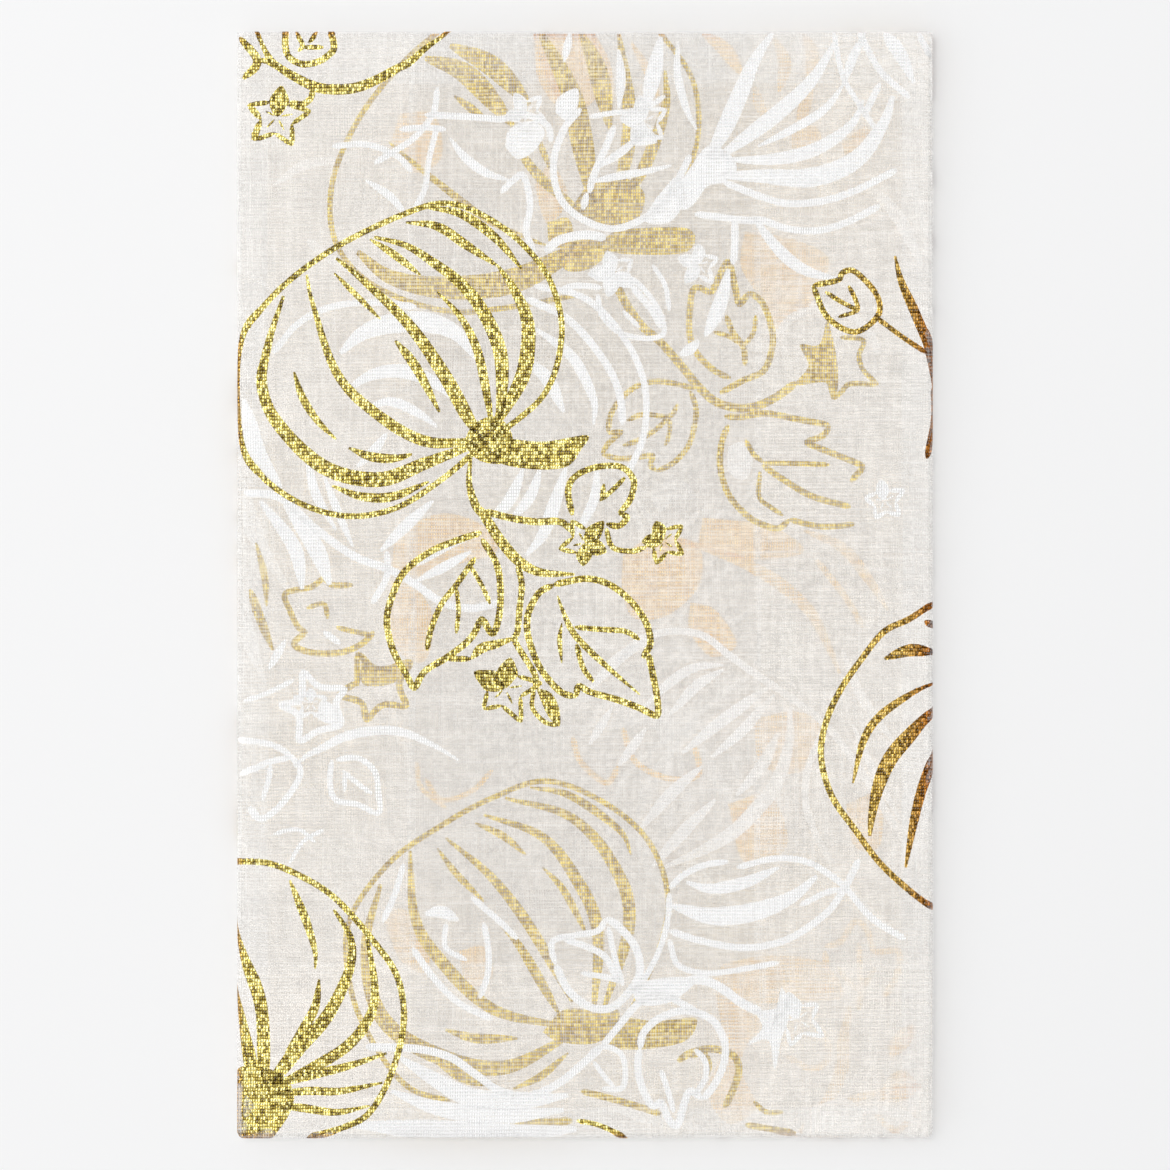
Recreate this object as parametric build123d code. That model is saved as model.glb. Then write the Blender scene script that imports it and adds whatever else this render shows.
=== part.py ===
from build123d import *
import os

# A soft fabric gift bag, pressed flat and lying on its back.
# X runs across the bag, Y towards its mouth and Z up from the surface that it lies on.
# The origin is on that surface, below the middle of the outline. All sizes are millimetres.

# Outline of the flat bag
bag_width = 165.0
bag_height = 262.5
corner_radius = 1.6

# Cloth and thread
ply = 0.4
thread_diameter = 0.4

# Folds. The open bag is twice gusset_half deep.
gusset_half = 41.0
fold_setback = 0.8
crease_setback = 0.5
mitre_clearance = 1.5

# Turned edges
seam_allowance = 7.0
mouth_hem = 12.0

# Room between the plies of the flat bag. A seam thread lies in each fold.
thread_clearance = 0.1
fold_gap = thread_diameter + thread_clearance
nest_gap = 0.3
crease_gap = 0.6
thread_inset = 1.0

# Heights of the rear half of the stack. The fore half is its mirror image about middle_height.
wall_outer_height = 0.0
wall_interlining_height = ply
wall_lining_height = 2 * ply
wall_inner_face = 3 * ply
side_lining_height = wall_inner_face + fold_gap
side_outer_height = side_lining_height + ply
base_lining_height = side_outer_height + ply + nest_gap
base_outer_height = base_lining_height + ply
middle_height = base_outer_height + ply + crease_gap / 2
bag_thickness = 2 * middle_height

# Fold lines, which the seam threads follow
thread_radius = thread_diameter / 2
thread_height = wall_inner_face + thread_radius
side_fold = bag_width / 2 - thread_radius
bottom_fold = -bag_height / 2 + thread_radius
side_crease = side_fold - gusset_half
mouth = bag_height / 2
below_hem = mouth - mouth_hem


def rear_height(height, depth):
    """The height of a piece in the rear half."""
    return height


def fore_height(height, depth):
    """The height of the same piece, depth thick, in the mirrored fore half."""
    return bag_thickness - height - depth


def rectangle(left, bottom, right, top):
    """A flat rectangle between two corners."""
    middle = Pos((left + right) / 2, (bottom + top) / 2)
    return middle * Rectangle(right - left, top - bottom)


def mitred_strip(side, bottom_reach, top):
    """A side strip from its fold to its crease, cut at 45 degrees where the base folds up past it.
    side is -1 on the left and 1 on the right, and bottom_reach is how far up the cut starts."""
    edge = side * (side_fold - fold_setback)
    crease = side * (side_crease + crease_setback)
    edge_bottom = bottom_reach + fold_setback
    crease_bottom = bottom_reach + gusset_half - crease_setback
    corners = [(edge, edge_bottom), (crease, crease_bottom), (crease, top), (edge, top)]
    return make_face(Polyline(*corners, close=True))


def save_ply(name, outline, height):
    """One layer of cloth with this outline, in its own node."""
    export_step(Pos(0, 0, height) * extrude(outline, amount=ply), f"parts/{name}.step")


def save_thread(name, start, end):
    """One straight seam thread, in its own node."""
    run = Line(start, end)
    section = Plane(origin=start, z_dir=run % 0) * Circle(thread_radius)
    export_step(sweep(section, path=run), f"parts/{name}.step")


def make_wall(wall, height_of):
    """The front or back wall: outer cloth, interlining and lining, with the outer cloth's
    seam allowances and mouth hem turned in round the interlining."""
    right = bag_width / 2
    bottom = -bag_height / 2
    inner_right = right - seam_allowance
    inner_bottom = bottom + seam_allowance
    panel = RectangleRounded(bag_width, bag_height, corner_radius)
    turned_in = {
        "interlining": rectangle(-inner_right, inner_bottom, inner_right, below_hem),
        "left_seam_allowance": rectangle(-right, bottom, -inner_right, below_hem),
        "right_seam_allowance": rectangle(inner_right, bottom, right, below_hem),
        "bottom_seam_allowance": rectangle(-inner_right, bottom, inner_right, inner_bottom),
        "mouth_hem": rectangle(-right, below_hem, right, mouth),
    }
    save_ply(f"{wall}_outer", panel, height_of(wall_outer_height, ply))
    save_ply(f"{wall}_lining", panel, height_of(wall_lining_height, ply))
    for name, outline in turned_in.items():
        save_ply(f"{wall}_{name}", panel & outline, height_of(wall_interlining_height, ply))


def make_side_strip(side_name, side, half, height_of):
    """Half of one side gusset: outer cloth, its mouth hem turned in, and the lining below the hem."""
    name = f"{side_name}_{half}"
    cut = bottom_fold + mitre_clearance
    whole = mitred_strip(side, cut, mouth)
    lining = mitred_strip(side, cut, below_hem)
    hem = whole & rectangle(-side_fold, below_hem, side_fold, mouth)
    save_ply(f"{name}_outer", whole, height_of(side_outer_height, ply))
    save_ply(f"{name}_lining", lining, height_of(side_lining_height, ply))
    save_ply(f"{name}_mouth_hem", hem, height_of(side_lining_height, ply))


def make_base_strip(half, height_of):
    """Half of the base, outer cloth and lining, from its fold to its crease."""
    right = side_fold - fold_setback
    fold = bottom_fold + fold_setback
    crease = bottom_fold + gusset_half - crease_setback
    strip = rectangle(-right, fold, right, crease)
    save_ply(f"bottom_{half}_outer", strip, height_of(base_outer_height, ply))
    save_ply(f"bottom_{half}_lining", strip, height_of(base_lining_height, ply))


def make_threads(wall, height_of):
    """The threads that sew one wall to the two sides and to the base, lying in the folds."""
    height = height_of(thread_height, 0)
    top = mouth - thread_inset
    end = side_fold - thread_inset
    for side_name, x in (("left", -side_fold), ("right", side_fold)):
        save_thread(f"{wall}_{side_name}_seam_thread", (x, bottom_fold, height), (x, top, height))
    save_thread(f"{wall}_bottom_seam_thread", (-end, bottom_fold, height), (end, bottom_fold, height))


os.makedirs("parts", exist_ok=True)
for wall, half, height_of in (("back", "rear", rear_height), ("front", "fore", fore_height)):
    make_wall(wall, height_of)
    make_side_strip("left", -1, half, height_of)
    make_side_strip("right", 1, half, height_of)
    make_base_strip(half, height_of)
    make_threads(wall, height_of)
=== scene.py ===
"""A sheer fabric gift bag, pressed flat: its cloth, its foil print, its folds and threads.

All lengths are metres, except in the print, whose strokes are drawn in millimetres.
"""

import math
import random
from collections import namedtuple

import bmesh
import bpy
import numpy as np
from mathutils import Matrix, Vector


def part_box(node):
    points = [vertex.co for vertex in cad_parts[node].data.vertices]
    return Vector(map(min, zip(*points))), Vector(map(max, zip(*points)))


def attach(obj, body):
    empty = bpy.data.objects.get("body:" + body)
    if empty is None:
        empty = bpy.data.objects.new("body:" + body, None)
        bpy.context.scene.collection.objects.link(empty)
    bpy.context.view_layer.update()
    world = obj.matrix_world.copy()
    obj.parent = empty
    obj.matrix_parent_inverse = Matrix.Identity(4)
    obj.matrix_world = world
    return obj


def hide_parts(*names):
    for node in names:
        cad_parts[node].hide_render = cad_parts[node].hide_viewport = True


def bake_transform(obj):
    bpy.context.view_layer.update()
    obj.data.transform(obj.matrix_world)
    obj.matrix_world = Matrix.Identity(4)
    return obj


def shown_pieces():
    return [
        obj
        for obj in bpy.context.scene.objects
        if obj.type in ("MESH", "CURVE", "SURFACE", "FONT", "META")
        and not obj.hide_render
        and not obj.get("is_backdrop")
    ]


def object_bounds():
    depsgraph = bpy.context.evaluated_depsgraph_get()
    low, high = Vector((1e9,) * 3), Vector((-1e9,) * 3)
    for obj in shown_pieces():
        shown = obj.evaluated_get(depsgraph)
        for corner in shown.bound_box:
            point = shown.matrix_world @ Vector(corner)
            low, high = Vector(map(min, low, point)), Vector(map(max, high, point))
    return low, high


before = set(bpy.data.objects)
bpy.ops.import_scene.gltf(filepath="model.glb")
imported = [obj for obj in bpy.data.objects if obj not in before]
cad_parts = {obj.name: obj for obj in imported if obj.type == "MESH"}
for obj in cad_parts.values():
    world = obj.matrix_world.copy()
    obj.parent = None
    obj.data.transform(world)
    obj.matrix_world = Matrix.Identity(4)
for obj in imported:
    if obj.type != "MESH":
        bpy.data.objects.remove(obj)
cad_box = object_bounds()
low_corner, high_corner = cad_box

MM = 0.001
HALF_WIDTH = high_corner[0]
HALF_HEIGHT = high_corner[1]
TOP = high_corner[2]


def middle_of(node):
    """The height of the middle of a ply."""
    low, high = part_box(node)
    return (low[2] + high[2]) / 2


def link(obj):
    bpy.context.scene.collection.objects.link(obj)
    return obj


# ---------------------------------------------------------------- node helpers


def new_material(name):
    material = bpy.data.materials.new(name)
    material.use_nodes = True
    tree = material.node_tree
    return material, tree, tree.nodes["Principled BSDF"]


def feed(tree, node, values):
    """Gives a node's inputs, in order, plain values or other nodes' outputs."""
    for socket, value in zip(node.inputs, values):
        if isinstance(value, bpy.types.NodeSocket):
            tree.links.new(value, socket)
        else:
            socket.default_value = value


def math_node(tree, operation, *values, clamp=False):
    made = tree.nodes.new("ShaderNodeMath")
    made.operation = operation
    made.use_clamp = clamp
    feed(tree, made, values)
    return made.outputs[0]


def vector_node(tree, operation, *values):
    """A Vector Math node. Returns its outputs, because some answers are a vector and some a number."""
    made = tree.nodes.new("ShaderNodeVectorMath")
    made.operation = operation
    feed(tree, made, values)
    return made.outputs


def axes_of(tree, vector):
    """The outputs for a vector's x, y and z."""
    made = tree.nodes.new("ShaderNodeSeparateXYZ")
    tree.links.new(vector, made.inputs[0])
    return made.outputs


def object_place(tree):
    """The place on the surface, in the object's own coordinates."""
    return tree.nodes.new("ShaderNodeTexCoord").outputs["Object"]


def noise_node(tree, vector, scale, detail=2.0, roughness=0.5):
    made = tree.nodes.new("ShaderNodeTexNoise")
    made.inputs["Scale"].default_value = scale
    made.inputs["Detail"].default_value = detail
    made.inputs["Roughness"].default_value = roughness
    tree.links.new(vector, made.inputs["Vector"])
    return made


def mapped(tree, vector, scale=(1, 1, 1), turn=0.0, shift=(0, 0, 0)):
    made = tree.nodes.new("ShaderNodeMapping")
    made.inputs["Scale"].default_value = scale
    made.inputs["Rotation"].default_value = (0, 0, turn)
    made.inputs["Location"].default_value = shift
    tree.links.new(vector, made.inputs["Vector"])
    return made.outputs[0]


def ramp_node(tree, value, *stops):
    """A colour ramp with (position, (r, g, b)) stops."""
    made = tree.nodes.new("ShaderNodeValToRGB")
    elements = made.color_ramp.elements
    while len(elements) < len(stops):
        elements.new(0.5)
    for element, (position, colour) in zip(elements, stops):
        element.position = position
        element.color = (*colour, 1)
    tree.links.new(value, made.inputs[0])
    return made.outputs[0]


def range_node(tree, value, low, high, to_low, to_high):
    made = tree.nodes.new("ShaderNodeMapRange")
    made.inputs["From Min"].default_value = low
    made.inputs["From Max"].default_value = high
    made.inputs["To Min"].default_value = to_low
    made.inputs["To Max"].default_value = to_high
    tree.links.new(value, made.inputs["Value"])
    return made.outputs[0]


def add_bump(tree, shader, height, distance, strength=1.0):
    bump = tree.nodes.new("ShaderNodeBump")
    bump.inputs["Distance"].default_value = distance
    bump.inputs["Strength"].default_value = strength
    tree.links.new(height, bump.inputs["Height"])
    tree.links.new(bump.outputs[0], shader.inputs["Normal"])


# ---------------------------------------------------------------- camera, floor and light

VIEW_WIDTH = 277.4 * MM
CAMERA_DISTANCE = 3.0
SENSOR = 36.0
FLOOR_SIZE = 6.0
PAPER = (0.92, 0.92, 0.92, 1)


def make_camera():
    data = bpy.data.cameras.new("camera")
    data.sensor_width = SENSOR
    data.lens = SENSOR * CAMERA_DISTANCE / VIEW_WIDTH
    data.clip_end = 20
    camera = link(bpy.data.objects.new("camera", data))
    camera.location = (0, 0, TOP + CAMERA_DISTANCE)
    bpy.context.scene.camera = camera


def make_floor():
    bpy.ops.mesh.primitive_plane_add(size=FLOOR_SIZE, location=(0, 0, low_corner[2]))
    floor = bpy.context.object
    floor.name = "floor"
    material = bpy.data.materials.new("paper_floor")
    material.use_nodes = True
    shader = material.node_tree.nodes["Principled BSDF"]
    shader.inputs["Base Color"].default_value = PAPER
    shader.inputs["Roughness"].default_value = 1.0
    shader.inputs["Specular IOR Level"].default_value = 0.0
    floor.data.materials.append(material)
    floor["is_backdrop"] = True


def make_softbox(name, place, size, power, colour=(1, 1, 1)):
    """A square area light that faces the middle of the bag."""
    data = bpy.data.lights.new(name, "AREA")
    data.size = size
    data.energy = power
    data.color = colour
    lamp = link(bpy.data.objects.new(name, data))
    lamp.location = place
    direction = -lamp.location
    lamp.rotation_euler = direction.to_track_quat("-Z", "Y").to_euler()


BRIGHT_SIDE = 1.22     # strength of the surroundings on the left
DARK_SIDE = 0.62       # and on the right
OVERHEAD = 0.45        # what is straight above has this share of it


def make_lights():
    world = bpy.data.worlds.new("studio")
    bpy.context.scene.world = world
    world.use_nodes = True
    tree = world.node_tree
    background = tree.nodes["Background"]
    background.inputs["Color"].default_value = (0.985, 0.99, 1, 1)
    look = axes_of(tree, tree.nodes.new("ShaderNodeTexCoord").outputs["Generated"])
    sideways = range_node(tree, look[0], -0.9, 0.7, BRIGHT_SIDE, DARK_SIDE)
    overhead = range_node(tree, look[2], 0.8, 0.97, 1.0, OVERHEAD)
    tree.links.new(math_node(tree, "MULTIPLY", sideways, overhead), background.inputs["Strength"])
    make_softbox("key", (-1.5, 1.4, 2.2), 1.0, 23.6, (1, 0.99, 0.975))
    make_softbox("fill", (-2.4, -0.4, 0.9), 1.2, 6.5, (1, 0.99, 0.98))


# ---------------------------------------------------------------- the weave

WARP_PITCH = 0.59 * MM   # between threads that run up the bag
WEFT_PITCH = 0.84 * MM   # between threads that run across it
WANDER = 1.1 * MM        # how far the threads stray from straight
SLUB = 0.035             # how fast a thread's thickness changes along it

# cover is 1 on a thread and 0 in a hole. The slubs are the threads' thickness. cell is a noise
# node with one random value and colour for each crossing. threads is the place in threads.
Weave = namedtuple("Weave", "cover warp_slub weft_slub cell threads")


def weave(tree, seed):
    """The plain weave of one ply. Each ply is turned and stretched a little, so that the plies
    beat against each other."""
    chance = random.Random(seed)
    turn = math.radians(chance.uniform(-0.9, 0.9))
    stretch = 1 + chance.uniform(-0.02, 0.02)
    shift = (chance.uniform(0, 1), chance.uniform(0, 1), chance.uniform(0, 1))
    place = object_place(tree)
    wander = noise_node(tree, mapped(tree, place, shift=shift), 55, 2).outputs["Color"]
    strayed = vector_node(tree, "MULTIPLY_ADD", wander, (WANDER, WANDER, 0), place)[0]
    threads = mapped(tree, strayed, (stretch / WARP_PITCH, stretch / WEFT_PITCH, 0), turn, shift)
    waves = []
    for count in axes_of(tree, threads)[:2]:
        waves.append(math_node(tree, "SINE", math_node(tree, "MULTIPLY", count, 2 * math.pi)))
    warp_slub = noise_node(tree, mapped(tree, threads, (1, SLUB, 1)), 1.3, 1).outputs[0]
    weft_slub = noise_node(tree, mapped(tree, threads, (SLUB, 1, 1)), 1.3, 1).outputs[0]
    warp = math_node(tree, "MULTIPLY_ADD", warp_slub, 1.6, waves[0])
    weft = math_node(tree, "MULTIPLY_ADD", weft_slub, 1.6, waves[1])
    highest = math_node(tree, "MAXIMUM", warp, weft)
    cover = range_node(tree, highest, 0.2, 1.5, 0, 1)
    cell = tree.nodes.new("ShaderNodeTexWhiteNoise")
    tree.links.new(vector_node(tree, "FLOOR", threads)[0], cell.inputs["Vector"])
    return Weave(cover, warp_slub, weft_slub, cell, threads)


DARK_THREAD = 0.84     # the darkest and brightest threads, as shares of the cloth's tone
BRIGHT_THREAD = 1.1


def cloth_material(name, seed, tone, hole, thread):
    """Sheer polyester: tone is the threads' colour, hole and thread are the least and most cover."""
    material, tree, shader = new_material(name)
    cloth = weave(tree, seed)
    slub = math_node(tree, "ADD", cloth.warp_slub, cloth.weft_slub)
    dark = tuple(DARK_THREAD * c for c in tone)
    bright = tuple(min(1.0, BRIGHT_THREAD * c) for c in tone)
    thick = math_node(tree, "MULTIPLY", slub, 0.33)
    shade = math_node(tree, "MULTIPLY_ADD", cloth.cell.outputs["Value"], 0.35, thick)
    colour = ramp_node(tree, shade, (0.3, dark), (0.7, bright))
    tree.links.new(colour, shader.inputs["Base Color"])
    base = range_node(tree, cloth.cover, 0, 1, hole, thread)
    alpha = math_node(tree, "MULTIPLY_ADD", math_node(tree, "SUBTRACT", slub, 1), 0.25, base, clamp=True)
    tree.links.new(alpha, shader.inputs["Alpha"])
    shader.inputs["Roughness"].default_value = 0.62
    shader.inputs["Specular IOR Level"].default_value = 0.35
    shader.inputs["Sheen Weight"].default_value = 0.15
    add_bump(tree, shader, cloth.cover, 0.2 * MM, 0.7)
    return material


CROWN = 0.16           # how much of a facet is the crossing's own round crown


def facets(tree, cloth):
    """Returns (dome, height): dome is 1 on the crown of each crossing and 0 round it, and height
    is that dome tilted its own way at each crossing, for foil that glitters."""
    inside = vector_node(tree, "FRACTION", cloth.threads)[0]
    tilt = vector_node(tree, "SUBTRACT", cloth.cell.outputs["Color"], (0.5, 0.5, 0.5))[0]
    slant = vector_node(tree, "DOT_PRODUCT", inside, tilt)["Value"]
    arches = []
    for share in axes_of(tree, inside)[:2]:
        arches.append(math_node(tree, "SINE", math_node(tree, "MULTIPLY", share, math.pi)))
    dome = math_node(tree, "MULTIPLY", *arches)
    return dome, math_node(tree, "MULTIPLY_ADD", dome, CROWN, slant)


# painted shade: the copper that darkens the foil on the folded edges of the bag
FOLD_SHADE_TINT = (0.62, 0.34, 0.2)
# painted shade: the brown that darkens the outer foil across its right-hand margin, away from the light
RIGHT_SHADE_TINT = (0.72, 0.56, 0.42)
FOLD_SHADE_REACH = 8 * MM      # how far in from the right edge the painted copper shade of the fold reaches
RIGHT_SHADE_START = 34 * MM      # how far in from the right edge the painted shade on the outer foil begins,
RIGHT_SHADE_END = 12 * MM        # and where it is at full strength


def fold_shade_mask(tree):
    """1 on the folded edges of the bag, where painted shade darkens the foil to copper, widest on the right
    edge, away from the light; 0 inside.
    """
    x, y, _ = axes_of(tree, object_place(tree))
    right = range_node(tree, x, HALF_WIDTH - FOLD_SHADE_REACH, HALF_WIDTH - 1 * MM, 0, 1)
    left = range_node(tree, x, -HALF_WIDTH + 1.6 * MM, -HALF_WIDTH + 0.2 * MM, 0, 0.8)
    up = math_node(tree, "ABSOLUTE", y)
    ends = range_node(tree, up, HALF_HEIGHT - 2.2 * MM, HALF_HEIGHT - 0.3 * MM, 0, 0.9)
    return math_node(tree, "MAXIMUM", math_node(tree, "MAXIMUM", right, left), ends)


def right_shade_mask(tree):
    """Rises across the right-hand margin of the bag: painted shade that browns the outer foil on the side
    away from the light.
    """
    x = axes_of(tree, object_place(tree))[0]
    return range_node(tree, x, HALF_WIDTH - RIGHT_SHADE_START, HALF_WIDTH - RIGHT_SHADE_END, 0, 1)


def tinted(tree, colour, where, tint):
    """The colour multiplied by a tint as far as `where` says."""
    mix = tree.nodes.new("ShaderNodeMix")
    mix.data_type = "RGBA"
    mix.blend_type = "MULTIPLY"
    tree.links.new(where, mix.inputs["Factor"])
    tree.links.new(colour, mix.inputs[6])
    mix.inputs[7].default_value = (*tint, 1)
    return mix.outputs[2]


# The foils' colours: gold with painted glints and painted shade, dark brown to bright yellow, picked at
# random for each crossing and brightest on its crown.
DEEP_FOIL_AND_GLINTS = ((0.15, (0.13, 0.07, 0.008)), (0.36, (0.55, 0.4, 0.06)), (0.55, (0.93, 0.79, 0.23)),
             (0.8, (1.0, 0.95, 0.5)))
PALE_FOIL_AND_GLINTS = ((0.15, (0.34, 0.2, 0.02)), (0.4, (0.72, 0.5, 0.06)), (0.8, (1.0, 0.84, 0.26)))
DIM_FOIL_AND_GLINTS = ((0.15, (0.94, 0.62, 0.26)), (0.5, (1.0, 0.74, 0.38)), (0.85, (1.0, 0.84, 0.52)))


def foil_material(name, seed, stops, metal, rough, relief, right_shaded=False):
    """Gold foil on the weave: every crossing of threads tilts the foil its own way, and it is
    thin between them. Its colour carries painted glints and painted shade: a random brightness
    at each crossing, a painted highlight on each crown and painted shade between the crossings."""
    material, tree, shader = new_material(name)
    cloth = weave(tree, seed)
    chance = cloth.cell.outputs["Value"]
    dome, height = facets(tree, cloth)
    # painted glints and shade: a random brightness for each crossing, with a painted highlight on its crown
    # and painted shade between crossings
    painted_glint_and_shade = math_node(tree, "MULTIPLY_ADD", chance, 0.5, math_node(tree, "MULTIPLY", dome, 0.5))
    colour = ramp_node(tree, painted_glint_and_shade, *stops)
    # painted shade: the outer foil darkens to brown across its right-hand margin
    if right_shaded:
        colour = tinted(tree, colour, right_shade_mask(tree), RIGHT_SHADE_TINT)
    # painted shade: the foil darkens to copper on the folded edges
    colour = tinted(tree, colour, fold_shade_mask(tree), FOLD_SHADE_TINT)
    tree.links.new(colour, shader.inputs["Base Color"])
    speckle = math_node(tree, "MULTIPLY_ADD", chance, 0.4, cloth.cover)
    alpha = range_node(tree, speckle, 0.0, 0.4, 0.55, 1)
    tree.links.new(alpha, shader.inputs["Alpha"])
    shader.inputs["Metallic"].default_value = metal
    shader.inputs["Roughness"].default_value = rough
    add_bump(tree, shader, height, relief, 1.0)
    return material


def reverse_material(name, seed):
    """The white back of the foil print, as it shows through the cloth."""
    material, tree, shader = new_material(name)
    cloth = weave(tree, seed)
    chance = cloth.cell.outputs["Value"]
    shade = math_node(tree, "MULTIPLY_ADD", chance, 0.4, cloth.cover)
    colour = ramp_node(tree, shade, (0.1, (0.93, 0.93, 0.935)), (0.5, (1.0, 1.0, 1.0)))
    tree.links.new(colour, shader.inputs["Base Color"])
    speckle = math_node(tree, "MULTIPLY_ADD", chance, 0.3, cloth.cover)
    alpha = range_node(tree, speckle, 0.0, 0.5, 0.72, 1)
    tree.links.new(alpha, shader.inputs["Alpha"])
    shader.inputs["Roughness"].default_value = 0.5
    add_bump(tree, shader, cloth.cover, 0.1 * MM, 0.6)
    return material


# ---------------------------------------------------------------- sheets of cloth

CORNER = 1.6 * MM             # radius of a ply's corners
GRID = 3.5 * MM               # between the points of a level sheet
EDGE_STEPS = 9                # points across a rounded edge
RIPPLE = 0.028 * MM           # height of each of a ply's three ripples,
RIPPLE_EDGE = 9 * MM          # which fade out this close to its edge


class Ply:
    """One sheet of the bag. It maps a point of the flat cloth to its place in the bag: level in
    the middle, with rounded edges that droop (or, on the back wall, rise) towards the folds."""

    def __init__(self, name, height, edges, face, half_width, half_height, seed):
        self.name = name
        self.height = height
        self.edges = edges            # side -> (reach, drop) of the rounded edge
        self.face = face              # 1 where the folds lie below the ply, -1 where they lie above
        self.half = (half_width, half_height)
        self.chance = random.Random(seed)
        self.waves = [
            (self.chance.uniform(40, 110), self.chance.uniform(-60, 60), self.chance.uniform(0, 6.28))
            for _ in range(3)
        ]

    def rounded(self, value, half, low_side, high_side):
        """Where a coordinate ends up, and how far the ply has dropped there."""
        side = high_side if value > 0 else low_side
        reach, drop = self.edges[side]
        start = half - reach
        past = np.clip((abs(value) - start) / max(reach, 1e-9), 0, 1)
        angle = past * math.pi / 2
        out = min(abs(value), start) + reach * math.sin(angle)
        return math.copysign(out, value), drop * (1 - math.cos(angle))

    def place(self, u, v, lift=0.0):
        """The 3-D place of the point (u, v) of the flat ply, lift above its printed face."""
        x, fall_x = self.rounded(u, self.half[0], "left", "right")
        y, fall_y = self.rounded(v, self.half[1], "bottom", "top")
        over_x = abs(x) - (self.half[0] - CORNER)
        over_y = abs(y) - (self.half[1] - CORNER)
        if over_x > 0 and over_y > 0:
            pull = max(over_x, over_y) / math.hypot(over_x, over_y)
            x = math.copysign(self.half[0] - CORNER + over_x * pull, x)
            y = math.copysign(self.half[1] - CORNER + over_y * pull, y)
        fall = math.hypot(fall_x, fall_y)
        inland = min(self.half[0] - abs(u), self.half[1] - abs(v)) / RIPPLE_EDGE
        waves = sum(math.sin(a * u + b * v + c) for a, b, c in self.waves)
        ripple = waves * RIPPLE * min(1, max(0, inland))
        return x, y, self.height - self.face * fall + ripple + lift


def spaced_line(start, end, low_edge, high_edge):
    """Coordinates across a ply, close together on its rounded edges."""
    steps = max(2, round((end - start - low_edge - high_edge) / GRID))
    middle = np.linspace(start + low_edge, end - high_edge, steps + 1)
    low = np.linspace(start, start + low_edge, EDGE_STEPS + 1)[:-1] if low_edge > 0 else []
    high = np.linspace(end - high_edge, end, EDGE_STEPS + 1)[1:] if high_edge > 0 else []
    return np.concatenate([low, middle, high])


def mesh_object(name, points, faces, material):
    mesh = bpy.data.meshes.new(name)
    mesh.from_pydata(points, [], faces)
    mesh.validate()
    mesh.polygons.foreach_set("use_smooth", [True] * len(mesh.polygons))
    mesh.materials.append(material)
    return link(bpy.data.objects.new(name, mesh))


def grid_object(name, rows, material):
    """A sheet from rows of points."""
    wide = len(rows[0])
    points = [p for row in rows for p in row]
    faces = [
        (r * wide + c, r * wide + c + 1, (r + 1) * wide + c + 1, (r + 1) * wide + c)
        for r in range(len(rows) - 1)
        for c in range(wide - 1)
    ]
    return mesh_object(name, points, faces, material)


def panel(ply, left, bottom, right, top, material):
    """The part of a ply between two corners, as a sheet."""
    edge = {
        side: ply.edges[side][0] if limit else 0.0
        for side, limit in (
            ("left", left <= -ply.half[0] + 1e-6),
            ("right", right >= ply.half[0] - 1e-6),
            ("bottom", bottom <= -ply.half[1] + 1e-6),
            ("top", top >= ply.half[1] - 1e-6),
        )
    }
    across = spaced_line(left, right, edge["left"], edge["right"])
    up = spaced_line(bottom, top, edge["bottom"], edge["top"])
    rows = [[ply.place(u, v) for u in across] for v in up]
    return grid_object(ply.name, rows, material)


make_camera()
make_floor()
make_lights()

bpy.context.scene.view_settings.view_transform = "Standard"
bpy.context.scene.cycles.transparent_max_bounces = 64


# ---------------------------------------------------------------- cloth finishes

OUTER_TONE = (0.9, 0.893, 0.882)
INNER_TONE = (0.85, 0.815, 0.77)
UNDER_TONE = (0.875, 0.835, 0.785)
SHEER = {
    "front_outer": cloth_material("outer_sheer", 11, OUTER_TONE, 0.0, 0.34),
    "front_interlining": cloth_material("interlining_sheer", 12, INNER_TONE, 0.0, 0.16),
    "front_lining": cloth_material("lining_sheer", 13, INNER_TONE, 0.0, 0.2),
    "back_lining": cloth_material("back_lining_sheer", 16, UNDER_TONE, 0.06, 0.42),
    "back_interlining": cloth_material("back_interlining_sheer", 18, UNDER_TONE, 0.1, 0.46),
    "back_outer": cloth_material("back_outer_sheer", 19, UNDER_TONE, 0.12, 0.5),
    "side": cloth_material("side_sheer", 14, INNER_TONE, 0.0, 0.16),
    "turned": cloth_material("turned_sheer", 15, (0.94, 0.93, 0.915), 0.0, 0.3),
}
# the outer foil also carries painted shade across its right-hand margin
GOLD = foil_material("gold_foil", 11, DEEP_FOIL_AND_GLINTS, metal=1.0, rough=0.26, relief=0.9 * MM, right_shaded=True)
INNER_GOLD = foil_material("inner_gold_foil", 13, PALE_FOIL_AND_GLINTS, metal=0.2, rough=0.45, relief=0.5 * MM)
DIM_GOLD = foil_material("dim_gold_foil", 17, DIM_FOIL_AND_GLINTS, metal=0.0, rough=0.6, relief=0.2 * MM)
WHITE = reverse_material("white_reverse", 12)


# ---------------------------------------------------------------- plies of the bag

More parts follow.
